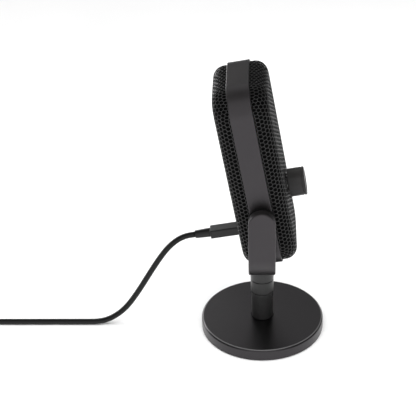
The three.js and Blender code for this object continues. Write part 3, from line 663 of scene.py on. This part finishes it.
def honeycomb(name, keep_cell, place):
    points, faces, shared, border = [], [], {}, {}
    corner_r = PITCH / math.sqrt(3)

    def corner(key, u, v, depth):
        if (key, depth) not in shared:
            shared[key, depth] = len(points)
            points.append(on_pan(u, v, depth))
        return shared[key, depth]

    def ring_of(u, v, radius, depth):
        start = len(points)
        points.extend(on_pan(u + radius * x, v + radius * z, depth) for x, z in hexagon)
        return list(range(start, start + 6))

    for i, j, u, v in cell_centres(keep_cell):
        keys = [(3 * i + dx, j + dz) for dx, dz in ((2, 0), (1, 1), (-1, 1), (-2, 0), (-1, -1), (1, -1))]
        spots = [(u + corner_r * x, v + corner_r * z) for x, z in hexagon]
        front = [corner(k, a, b, 0) for k, (a, b) in zip(keys, spots)]
        back = [corner(k, a, b, SHEET) for k, (a, b) in zip(keys, spots)]
        wide = (HOLE + CHAMFER) * 2 / math.sqrt(3)
        narrow = HOLE * 2 / math.sqrt(3)
        rows = [front, ring_of(u, v, wide, 0), ring_of(u, v, narrow, CHAMFER),
                ring_of(u, v, narrow, SHEET), back]
        for near, far in zip(rows, rows[1:]):
            for k in range(6):
                m = (k + 1) % 6
                faces.append((near[k], near[m], far[m], far[k]))
        for k in range(6):
            m = (k + 1) % 6
            edge = tuple(sorted((keys[k], keys[m])))
            border[edge] = None if edge in border else (front[k], front[m], back[m], back[k])
    in_cells = len(faces)
    faces.extend(face for face in border.values() if face)
    sheet = make_piece(name, points, faces, place, crease=28)
    # The hole walls take the second material, a much darker paint that stands in for the shade inside the
    # holes.
    for i in range(in_cells):
        if i // 6 % 4 == 2:
            sheet.data.polygons[i].material_index = 1
    return sheet


# %% Front and rear mesh
knob_low, knob_high = leaning_box("gain_knob")
knob_z = (knob_low.z + knob_high.z) / 2 - body_middle.z
port_low, port_high = leaning_box("port_plate")
port_z = (port_low.z + port_high.z) / 2 - body_middle.z


KNOB_OPENING = 6.4 * MM
PORT_OPENING_X, PORT_OPENING_Z = 12.4 * MM, 8.6 * MM


def clear_of_knob(u, v):
    return math.hypot(u, v - knob_z) > KNOB_OPENING


def clear_of_port(u, v):
    return abs(u) > PORT_OPENING_X or abs(v - port_z) > PORT_OPENING_Z


front_mesh = honeycomb("front_mesh", clear_of_knob, at_body)
rear_mesh = honeycomb("rear_mesh", clear_of_port, at_body @ Matrix.Scale(-1, 4, (0, 1, 0)))
for mesh_piece, node in ((front_mesh, "front_grille"), (rear_mesh, "rear_grille")):
    mesh_piece.modifiers.clear()
    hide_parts(node)
    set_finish(mesh_piece, "mesh_coat")
    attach(mesh_piece, "mic")
print("front mesh %d faces, rear mesh %d" % (len(front_mesh.data.polygons), len(rear_mesh.data.polygons)))

# %% [markdown]
# ## The gain knob
# The knob is turned from one piece, with a fine groove just behind its front edge, a shallow dish
# in the face, and a short pointer line milled from the middle of the face to its edge.

# %% Knob
knob_r = knob_high.x
knob_front, knob_back = -knob_low.y, -knob_high.y
DISH, KNOB_GROOVE = 0.5 * MM, 0.45 * MM
NUT_ROOM_R, NUT_ROOM_DEEP = 8 * MM, 4.6 * MM
at_knob = at_body @ Matrix.Translation((0, 0, knob_z)) @ Matrix.Rotation(math.pi / 2, 4, "X")
knob = turned_piece("knob", [
    (0, knob_front - DISH, 0), (knob_r - 3.2 * MM, knob_front - DISH, 0.4 * MM),
    (knob_r - 2.6 * MM, knob_front, 0.3 * MM), (knob_r, knob_front, 0.9 * MM),
    (knob_r, knob_front - 2.1 * MM, 0.12 * MM), (knob_r - KNOB_GROOVE, knob_front - 2.3 * MM, 0),
    (knob_r - KNOB_GROOVE, knob_front - 2.6 * MM, 0), (knob_r, knob_front - 2.8 * MM, 0.12 * MM),
    (knob_r, knob_back, 0.5 * MM), (NUT_ROOM_R, knob_back, 0.3 * MM),
    (NUT_ROOM_R, knob_back + NUT_ROOM_DEEP, 0), (0, knob_back + NUT_ROOM_DEEP, 0),
][::-1], at_knob, steps=120)
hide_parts("gain_knob")
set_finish(knob, "knob_coat")
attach(knob, "knob")
pointer = slab_piece(
    "knob_pointer", 0.45 * MM, 3.1 * MM, 0.44 * MM,
    -(knob_front - 0.3 * MM), -(knob_front - 0.7 * MM), 0.1 * MM,
    at_body @ Matrix.Translation((0, 0, knob_z + 5.3 * MM)),
)
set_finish(pointer, "bare_steel")
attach(pointer, "knob")
print("knob %.1f mm across, %.1f mm long" % (knob_r * 2 / MM, (knob_front - knob_back) / MM))

# %% [markdown]
# ## The port, the plug and its relief
# A small plastic bezel frames the port and covers the cut edge of the mesh. The plug is a soft
# moulded block, and its relief tapers to the lead and ends in a small step.

# %% Port bezel
BEZEL_X, BEZEL_Z = 14.2 * MM, 10.4 * MM
BEZEL_CORNER, BEZEL_WALL = 3 * MM, 9 * MM
at_port = at_body @ Matrix.Translation((0, 0, port_z))
bezel = frame_piece(
    "port_bezel", BEZEL_X, BEZEL_Z, BEZEL_CORNER, BEZEL_WALL,
    PAN_Y - 1.5 * MM, PAN_Y + 0.5 * MM, 0.35 * MM, at_port,
)
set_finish(bezel, "black_plastic")
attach(bezel, "mic")

# %% Plug and relief
plug_low, plug_high = leaning_box("usb_plug")
plug_half = (plug_high - plug_low) / 2
plug = slab_piece(
    "usb_c_plug", plug_half.x, plug_half.z, 1.3 * MM, plug_low.y, plug_high.y, 0.6 * MM, at_port,
)
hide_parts("usb_plug")
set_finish(plug, "plug_plastic")
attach(plug, "mic")
relief_low, relief_high = leaning_box("strain_relief")
relief_length = relief_high.y - relief_low.y


def relief_profile(start, length, wide, narrow):
    """A taper with a short straight collar at the plug; heights run away from the plug."""
    collar_end = start + length * 0.14
    return [(0, start, 0), (wide, start, 0.35 * MM), (wide, collar_end, 0.3 * MM),
            (narrow, start + length, 0.5 * MM), (0, start + length, 0)]


along_plug = Matrix.Rotation(-math.pi / 2, 4, "X")
relief = turned_piece(
    "plug_relief", relief_profile(relief_low.y, relief_length, relief_high.x, CORD_R + 0.95 * MM),
    at_port @ along_plug, steps=48,
)
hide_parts("strain_relief")
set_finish(relief, "plug_plastic")
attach(relief, "mic")
print("plug %.1f by %.1f mm" % (plug_half.x * 2 / MM, plug_half.z * 2 / MM))

# %% [markdown]
# ## The far end of the lead
# A strap holds the coil, and the lead ends in a USB-A plug: a moulded grip, and a folded steel
# shell that is open at the end, with a plastic tongue inside. The shell's two square windows are
# thin dark plates.

# %% Strap
tie_low, tie_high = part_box("cord_tie")
tie_middle = (tie_low + tie_high) / 2
tie_half = (tie_high - tie_low) / 2
strap = frame_piece(
    "coil_strap", tie_half.y, tie_half.z, 2.2 * MM, STRAP, -tie_half.x, tie_half.x, 0.2 * MM,
    Matrix.Translation(tie_middle) @ Matrix.Rotation(math.pi / 2, 4, "Z"),
)
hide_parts("cord_tie")
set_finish(strap, "black_plastic")
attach(strap, "yoke")

# %% Far plug
grip_low, grip_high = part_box("usb_a_plug")
grip_half = (grip_high - grip_low) / 2
along_x = Matrix.Rotation(-math.pi / 2, 4, "Z")
grip_middle = Vector((0, (grip_low.y + grip_high.y) / 2, (grip_low.z + grip_high.z) / 2))
at_far_plug = Matrix.Translation(grip_middle) @ along_x
grip = slab_piece(
    "far_plug_grip", grip_half.y, grip_half.z, 2 * MM, grip_low.x, grip_high.x, 0.8 * MM, at_far_plug,
)
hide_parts("usb_a_plug")
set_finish(grip, "plug_plastic")
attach(grip, "yoke")
far_low, far_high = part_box("usb_a_relief")
far_length = far_high.x - far_low.x
mirrored = Matrix.Translation(Vector((far_high.x, grip_middle.y, grip_middle.z))) @ Matrix.Rotation(
    -math.pi / 2, 4, "Y")
far_relief = turned_piece(
    "far_plug_relief", relief_profile(0, far_length, far_high.y - grip_middle.y, CORD_R + 0.5 * MM),
    mirrored, steps=48,
)
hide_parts("usb_a_relief")
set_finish(far_relief, "plug_plastic")
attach(far_relief, "yoke")
shell_low, shell_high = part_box("usb_a_shell")
shell_half = (shell_high - shell_low) / 2
shell = frame_piece(
    "far_plug_shell", shell_half.y, shell_half.z, 0.6 * MM, 0.35 * MM,
    shell_low.x, shell_high.x, 0.1 * MM, at_far_plug, steps=4,
)
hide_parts("usb_a_shell")
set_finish(shell, "bare_steel")
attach(shell, "yoke")
tongue = slab_piece(
    "far_plug_tongue", shell_half.y - 0.6 * MM, 0.9 * MM, 0.2 * MM,
    shell_low.x + 0.5 * MM, shell_high.x - 1.5 * MM, 0.1 * MM,
    Matrix.Translation((0, 0, 0.8 * MM)) @ at_far_plug,
)
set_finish(tongue, "plug_plastic")
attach(tongue, "yoke")
WINDOW = 1.1 * MM
for way in (-1, 1):
    spot = Vector((shell_high.x - 6.2 * MM, grip_middle.y + way * 2.9 * MM, shell_high.z - 0.02 * MM))
    window = slab_piece(
        "far_plug_window_%d" % (way + 2), WINDOW, WINDOW, 0.2 * MM, 0, 0.08 * MM, 0.02 * MM,
        Matrix.Translation(spot) @ Matrix.Rotation(math.pi / 2, 4, "X"),
    )
    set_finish(window, "black_plastic")
    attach(window, "yoke")
print("far plug %.0f mm long" % ((shell_high.x - far_low.x) / MM))


# %% [markdown]
# ## Shared surface effects
# A real surface is never one colour. Its paint pools and thins, its plastic has a fine moulded
# grain, and its edges wear. One group also paints a thin highlight line on the base's rim. These
# effects are needed many times, so each is a node group. A group gives back only masks, heights
# and colours. The shader itself stays in each material, where its constant values are set on its
# own sockets.


# %% Node helpers
def add_node(tree, kind, inputs=None, **settings):
    """A node with its settings made and its inputs given as values or linked from sockets."""
    made = tree.nodes.new(kind)
    for key, value in settings.items():
        setattr(made, key, value)
    for key, value in (inputs or {}).items():
        if isinstance(value, bpy.types.NodeSocket):
            tree.links.new(value, made.inputs[key])
        else:
            made.inputs[key].default_value = value
    return made


def new_group(name, inputs, outputs):
    tree = bpy.data.node_groups.new(name, "ShaderNodeTree")
    for title, kind, value in inputs:
        socket = tree.interface.new_socket(title, in_out="INPUT", socket_type="NodeSocket" + kind)
        socket.default_value = value
    for title, kind in outputs:
        tree.interface.new_socket(title, in_out="OUTPUT", socket_type="NodeSocket" + kind)
    return tree, tree.nodes.new("NodeGroupInput"), tree.nodes.new("NodeGroupOutput")


def noise(tree, place, scale, detail=3.0, rough=0.5):
    inputs = {"Vector": place, "Scale": scale, "Detail": detail, "Roughness": rough}
    return add_node(tree, "ShaderNodeTexNoise", inputs).outputs["Fac"]


def sum_of(tree, a, b, operation="ADD", clamp=False):
    made = add_node(tree, "ShaderNodeMath", {0: a, 1: b}, operation=operation, use_clamp=clamp)
    return made.outputs[0]


# %% Grain, patches and specks
def make_surface_group():
    """Patches are broad, Grain is the fine moulded or sprayed texture, Specks are rare dust."""
    tree, given, out = new_group(
        "surface_grain", [("Place", "Vector", (0, 0, 0)), ("Grain Scale", "Float", 2500.0)],
        [("Patches", "Float"), ("Grain", "Float"), ("Specks", "Float")],
    )
    place = given.outputs["Place"]
    patches = noise(tree, place, 38.0, detail=4.0, rough=0.55)
    grain = noise(tree, place, given.outputs["Grain Scale"], detail=2.0, rough=0.6)
    spots = add_node(tree, "ShaderNodeTexVoronoi", {"Vector": place, "Scale": 420.0})
    near = add_node(tree, "ShaderNodeMapRange", {
        "Value": spots.outputs["Distance"], "From Min": 0.05, "From Max": 0.11, "To Min": 1.0, "To Max": 0.0})
    rare = add_node(tree, "ShaderNodeMapRange", {
        "Value": noise(tree, place, 260.0), "From Min": 0.62, "From Max": 0.68})
    tree.links.new(patches, out.inputs["Patches"])
    tree.links.new(grain, out.inputs["Grain"])
    tree.links.new(sum_of(tree, near.outputs[0], rare.outputs[0], "MULTIPLY"), out.inputs["Specks"])
    return tree


def make_edge_group():
    """A mask of the edges, from how far a rounded normal turns away from the true one."""
    tree, given, out = new_group("worn_edges", [("Place", "Vector", (0, 0, 0))], [("Edges", "Float")])
    rounded = add_node(tree, "ShaderNodeBevel", {"Radius": 0.0009}, samples=4)
    true_normal = add_node(tree, "ShaderNodeNewGeometry").outputs["Normal"]
    same = add_node(
        tree, "ShaderNodeVectorMath", {0: rounded.outputs[0], 1: true_normal}, operation="DOT_PRODUCT")
    turned = add_node(tree, "ShaderNodeMapRange", {
        "Value": same.outputs["Value"], "From Min": 0.995, "From Max": 0.86})
    broken = add_node(tree, "ShaderNodeMapRange", {
        "Value": noise(tree, given.outputs["Place"], 190.0, detail=5.0, rough=0.7),
        "From Min": 0.42, "From Max": 0.66})
    edges = sum_of(tree, turned.outputs[0], broken.outputs[0], "MULTIPLY", True)
    tree.links.new(edges, out.inputs["Edges"])
    return tree


RIM_HALF_WIDTH = 0.45 * MM


def make_rim_highlight_group():
    """A mask of the narrow ring on a round base's top edge, where a highlight line is painted."""
    tree, given, out = new_group(
        "painted_rim_highlight",
        [("Place", "Vector", (0, 0, 0)), ("Radius", "Float", 0.05), ("Height", "Float", 0.01)],
        [("Rim", "Float")],
    )
    parts = add_node(tree, "ShaderNodeSeparateXYZ", {"Vector": given.outputs["Place"]}).outputs
    flat = add_node(tree, "ShaderNodeCombineXYZ", {"X": parts["X"], "Y": parts["Y"]}).outputs[0]
    out_to = add_node(tree, "ShaderNodeVectorMath", {0: flat}, operation="LENGTH").outputs["Value"]
    near_ring = {0: out_to, 1: given.outputs["Radius"], 2: RIM_HALF_WIDTH}
    ring = add_node(tree, "ShaderNodeMath", near_ring, operation="COMPARE")
    above = add_node(
        tree, "ShaderNodeMath", {0: parts["Z"], 1: given.outputs["Height"]}, operation="GREATER_THAN")
    uneven = add_node(tree, "ShaderNodeMapRange", {
        "Value": noise(tree, given.outputs["Place"], 60.0, detail=4.0), "To Min": 0.7, "To Max": 1.0})
    both = sum_of(tree, ring.outputs[0], above.outputs[0], "MULTIPLY")
    tree.links.new(sum_of(tree, both, uneven.outputs[0], "MULTIPLY"), out.inputs["Rim"])
    return tree


surface_group = make_surface_group()
edge_group = make_edge_group()
rim_highlight_group = make_rim_highlight_group()
print("effects:", surface_group.name, edge_group.name, rim_highlight_group.name)

# %% [markdown]
# ## Materials
# Most finishes differ only in their colours, their gloss and the size of their grain, so one
# function makes them all from those facts. Colours are given as a dark and a light shade, and
# the patches and the grain move the surface between the two.


# %% A finish from its facts
def begin_material(name):
    material = bpy.data.materials.new(name)
    material.use_nodes = True
    tree = material.node_tree
    shader = tree.nodes["Principled BSDF"]
    place = add_node(tree, "ShaderNodeTexCoord").outputs["Object"]
    return material, tree, shader, place


def shade_between(tree, mask, dark, light, low=0.3, high=0.7):
    ramp_node = add_node(tree, "ShaderNodeValToRGB", {"Fac": mask})
    ends = ramp_node.color_ramp.elements
    ends[0].position, ends[0].color = low, (*dark, 1)
    ends[1].position, ends[1].color = high, (*light, 1)
    return ramp_node.outputs["Color"]


def span(tree, mask, low, high):
    """A mask made into a value between low and high."""
    return add_node(tree, "ShaderNodeMapRange", {"Value": mask, "To Min": low, "To Max": high}).outputs[0]


def grey(level, warm=0.0):
    """A linear colour from a grey level out of 255, a little warm or cool."""
    line = (level / 255) ** 2.2
    return line * (1 + warm), line, line * (1 - warm)


def finish_of(name, dark, light, rough, grain=2500.0, height=0.012, metal=0.0, worn=None, wear=0.3,
              sheen=0.5, tint=1.0, rim=None):
    """A material with patches, grain, dust and, if `worn` gives a colour, worn edges; if `rim` is given, a
    painted highlight ring on a round rim.
    """
    material, tree, shader, place = begin_material(name)
    marks = add_node(tree, "ShaderNodeGroup", node_tree=surface_group)
    tree.links.new(place, marks.inputs["Place"])
    marks.inputs["Grain Scale"].default_value = grain
    mixed = sum_of(tree, marks.outputs["Patches"], sum_of(tree, marks.outputs["Grain"], 0.35, "MULTIPLY"))
    colour = shade_between(tree, mixed, dark, light, 0.45, 0.9)
    dusty = add_node(tree, "ShaderNodeMix", {
        "Factor": sum_of(tree, marks.outputs["Specks"], 0.35, "MULTIPLY"), 6: colour,
        7: (*(min(4 * c + 0.05, 1) for c in light), 1)}, data_type="RGBA")
    colour = dusty.outputs[2]
    if worn:
        edges = add_node(tree, "ShaderNodeGroup", node_tree=edge_group)
        tree.links.new(place, edges.inputs["Place"])
        rubbed = add_node(tree, "ShaderNodeMix", {
            "Factor": sum_of(tree, edges.outputs["Edges"], wear, "MULTIPLY"), 6: colour, 7: (*worn, 1)},
            data_type="RGBA")
        colour = rubbed.outputs[2]
    # Painted highlight: a thin light grey ring that stands in for the light caught on the base's bevel.
    if rim:
        rim_highlight_node = add_node(tree, "ShaderNodeGroup", node_tree=rim_highlight_group)
        tree.links.new(place, rim_highlight_node.inputs["Place"])
        rim_highlight_node.inputs["Radius"].default_value, rim_highlight_node.inputs["Height"].default_value = rim
        colour = add_node(tree, "ShaderNodeMix", {
            "Factor": rim_highlight_node.outputs["Rim"], 6: colour, 7: (*grey(94), 1)}, data_type="RGBA").outputs[2]
    tree.links.new(colour, shader.inputs["Base Color"])
    tree.links.new(span(tree, mixed, rough - 0.05, rough + 0.06), shader.inputs["Roughness"])
    shader.inputs["Metallic"].default_value = metal
    shader.inputs["Specular IOR Level"].default_value = sheen
    shader.inputs["Specular Tint"].default_value = (1.0, tint, 1.0, 1)
    bump = add_node(tree, "ShaderNodeBump", {
        "Height": marks.outputs["Grain"], "Strength": 0.35, "Distance": height * MM})
    tree.links.new(bump.outputs[0], shader.inputs["Normal"])
    return material


# %% Painted and moulded finishes
materials = {
    "base_coat": finish_of("base_coat", grey(7), grey(13), 0.3, 2300.0,
                           worn=grey(70), sheen=0.6, tint=0.94,
                           # The rim ring paints a highlight line along the base's bevel.
                           rim=(base_r - EDGE_CHAMFER, base_top - 0.4 * MM)),
    "stand_coat": finish_of("stand_coat", grey(40), grey(52), 0.27, 2600.0, worn=grey(80), sheen=0.45),
    "frame_coat": finish_of("frame_coat", grey(20, 0.05), grey(28, 0.05), 0.38, 2800.0,
                            worn=grey(90), sheen=0.6, tint=0.93),
    "knob_coat": finish_of("knob_coat", grey(32, 0.03), grey(40, 0.03), 0.36, 3000.0,
                           worn=grey(90), sheen=0.34, tint=0.97),
    "mesh_coat": finish_of("mesh_coat", grey(22), grey(36), 0.38, 3200.0, sheen=0.75),
    "black_rubber": finish_of("black_rubber", grey(6), grey(14), 0.6, 1500.0, 0.03, sheen=0.25),
    "cord_rubber": finish_of("cord_rubber", grey(7), grey(13), 0.4, 1800.0, 0.02, sheen=0.3),
    "plug_plastic": finish_of("plug_plastic", grey(9), grey(15), 0.4, 1900.0, 0.03, sheen=0.4),
    "black_plastic": finish_of("black_plastic", grey(18), grey(30), 0.4, 1700.0, 0.03),
    "bare_steel": finish_of("bare_steel", grey(150), grey(190), 0.28, 1400.0, 0.01, metal=1.0),
    "chassis_sheet": finish_of("chassis_sheet", grey(120), grey(165), 0.4, 900.0, 0.02, metal=1.0),
    "brass": finish_of("brass", (0.42, 0.27, 0.09), (0.66, 0.46, 0.18), 0.3, 1200.0, 0.01, metal=1.0),
}
print("finishes:", ", ".join(materials))

# %% [markdown]
# Two materials need a pattern of their own. The foam behind the mesh has open pores, and the
# circuit board has copper tracks under its solder mask.


# %% Foam and circuit board
def make_foam():
    material, tree, shader, place = begin_material("foam")
    pores = add_node(tree, "ShaderNodeTexVoronoi", {"Vector": place, "Scale": 1100.0, "Randomness": 1.0})
    walls = add_node(tree, "ShaderNodeMapRange", {
        "Value": pores.outputs["Distance"], "From Min": 0.1, "From Max": 0.65})
    colour = shade_between(tree, walls.outputs[0], grey(3), grey(11), 0.1, 0.9)
    tree.links.new(colour, shader.inputs["Base Color"])
    tree.links.new(span(tree, noise(tree, place, 600.0), 0.85, 1.0), shader.inputs["Roughness"])
    shader.inputs["Specular IOR Level"].default_value = 0.1
    bump = add_node(tree, "ShaderNodeBump", {
        "Height": walls.outputs[0], "Strength": 0.8, "Distance": 0.3 * MM})
    tree.links.new(bump.outputs[0], shader.inputs["Normal"])
    return material


def make_board():
    material, tree, shader, place = begin_material("board")
    tracks = add_node(tree, "ShaderNodeTexBrick", {
        "Vector": place, "Scale": 260.0, "Mortar Size": 0.09, "Mortar Smooth": 0.1})
    mask = tracks.outputs["Fac"]
    uneven = noise(tree, place, 90.0, detail=4.0)
    mixed = sum_of(tree, sum_of(tree, mask, 0.6, "MULTIPLY"), sum_of(tree, uneven, 0.4, "MULTIPLY"))
    colour = shade_between(tree, mixed, (0.004, 0.03, 0.014), (0.012, 0.11, 0.045), 0.2, 0.8)
    tree.links.new(colour, shader.inputs["Base Color"])
    tree.links.new(span(tree, uneven, 0.22, 0.4), shader.inputs["Roughness"])
    bump = add_node(tree, "ShaderNodeBump", {"Height": mask, "Strength": 0.5, "Distance": 0.04 * MM})
    tree.links.new(bump.outputs[0], shader.inputs["Normal"])
    return material


# The hole walls' paint is far darker than the mesh face: painted shade inside the punched holes.
shaded_hole_walls = finish_of("shaded_hole_walls", grey(3), grey(8), 0.7, 3200.0, sheen=0.08)
materials["foam"] = make_foam()
materials["board"] = make_board()

# %% Give every piece and every kept node its finish
for part in frame["record"]["subparts"]:
    for slot in frame["nodes"][part["node"]].material_slots:
        slot.material = materials[part["material_slot"]]
for piece in bpy.data.objects:
    if piece.type == "MESH" and "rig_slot" in piece:
        piece.data.materials.clear()
        piece.data.materials.append(materials[piece["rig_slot"]])
        # Mesh pieces get the painted-shade hole-wall material as their second slot.
        if piece["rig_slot"] == "mesh_coat":
            piece.data.materials.append(shaded_hole_walls)

# %% [markdown]
# ## The studio
# The microphone stands on wide white paper. Dark paint shows its surroundings more than its own
# colour: its upright faces mirror the bright paper in front, and its level faces mirror what is
# behind. So the room is dim and the paper is bright. A faint card overhead behind lights the level
# faces, a wide one in front lights the edges that face up, and a low one stands behind the lead.


# %% Paper floor
def make_paper():
    material, tree, shader, place = begin_material("white_paper")
    cloudy = noise(tree, place, 3.0, detail=3.0)
    fibres = noise(tree, place, 900.0, detail=2.0)
    colour = shade_between(tree, cloudy, (0.86, 0.86, 0.86), (0.9, 0.9, 0.9))
    tree.links.new(colour, shader.inputs["Base Color"])
    tree.links.new(span(tree, fibres, 0.6, 0.8), shader.inputs["Roughness"])
    bump = add_node(tree, "ShaderNodeBump", {"Height": fibres, "Strength": 0.1, "Distance": 0.05 * MM})
    tree.links.new(bump.outputs[0], shader.inputs["Normal"])
    return material


floor_corners = [(-3, -3, 0), (3, -3, 0), (3, 3, 0), (-3, 3, 0)]
floor = make_piece("paper_floor", floor_corners, [(0, 1, 2, 3)])
floor.modifiers.clear()
floor.data.materials.append(make_paper())
floor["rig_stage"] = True


# %% Lights
def soft_light(name, spot, aim, width, height, watts):
    light = bpy.data.lights.new(name, "AREA")
    light.shape = "RECTANGLE"
    light.size, light.size_y, light.energy = width, height, watts
    lamp = bpy.data.objects.new(name, light)
    spot, aim = Vector(spot), Vector(aim)
    lamp.matrix_world = Matrix.Translation(spot) @ (spot - aim).to_track_quat("Z", "Y").to_matrix().to_4x4()
    bpy.context.scene.collection.objects.link(lamp)
    return lamp


overhead = soft_light("overhead", (-0.5, 0, 2.2), (0, 0, 0), 2.6, 2.6, 92)
overhead.visible_glossy = False
ceiling = soft_light("ceiling_card", (1.5, 0.3, 2.0), (1.2, 0.25, 1.0), 1.8, 1.8, 5.6)
ceiling.visible_diffuse = False
front_wall = soft_light("front_wall", (-1.7, 0, 1.8), (0, 0, 1.8), 2.6, 3.6, 25)
front_wall.visible_diffuse = False
back_card = soft_light("back_card", (0.45, 0.5, 0.2), (0, 0.3, 0.2), 0.82, 0.2, 2.6)
back_card.visible_camera = False

world = bpy.data.worlds.new("white_room")
world.use_nodes = True
background = world.node_tree.nodes["Background"]
background.inputs["Color"].default_value = (1, 1, 1, 1)
background.inputs["Strength"].default_value = 0.2
bpy.context.scene.world = world
bpy.context.scene.view_settings.view_transform = "Standard"
print("floor and lights ready")

# %% Print the size of the frame and of the pieces
piece_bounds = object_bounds()
for title, (low, high) in (("frame", cad_bounds), ("pieces", piece_bounds)):
    print(title, "box in mm:", [round((b - a) / MM, 1) for a, b in zip(low, high)])
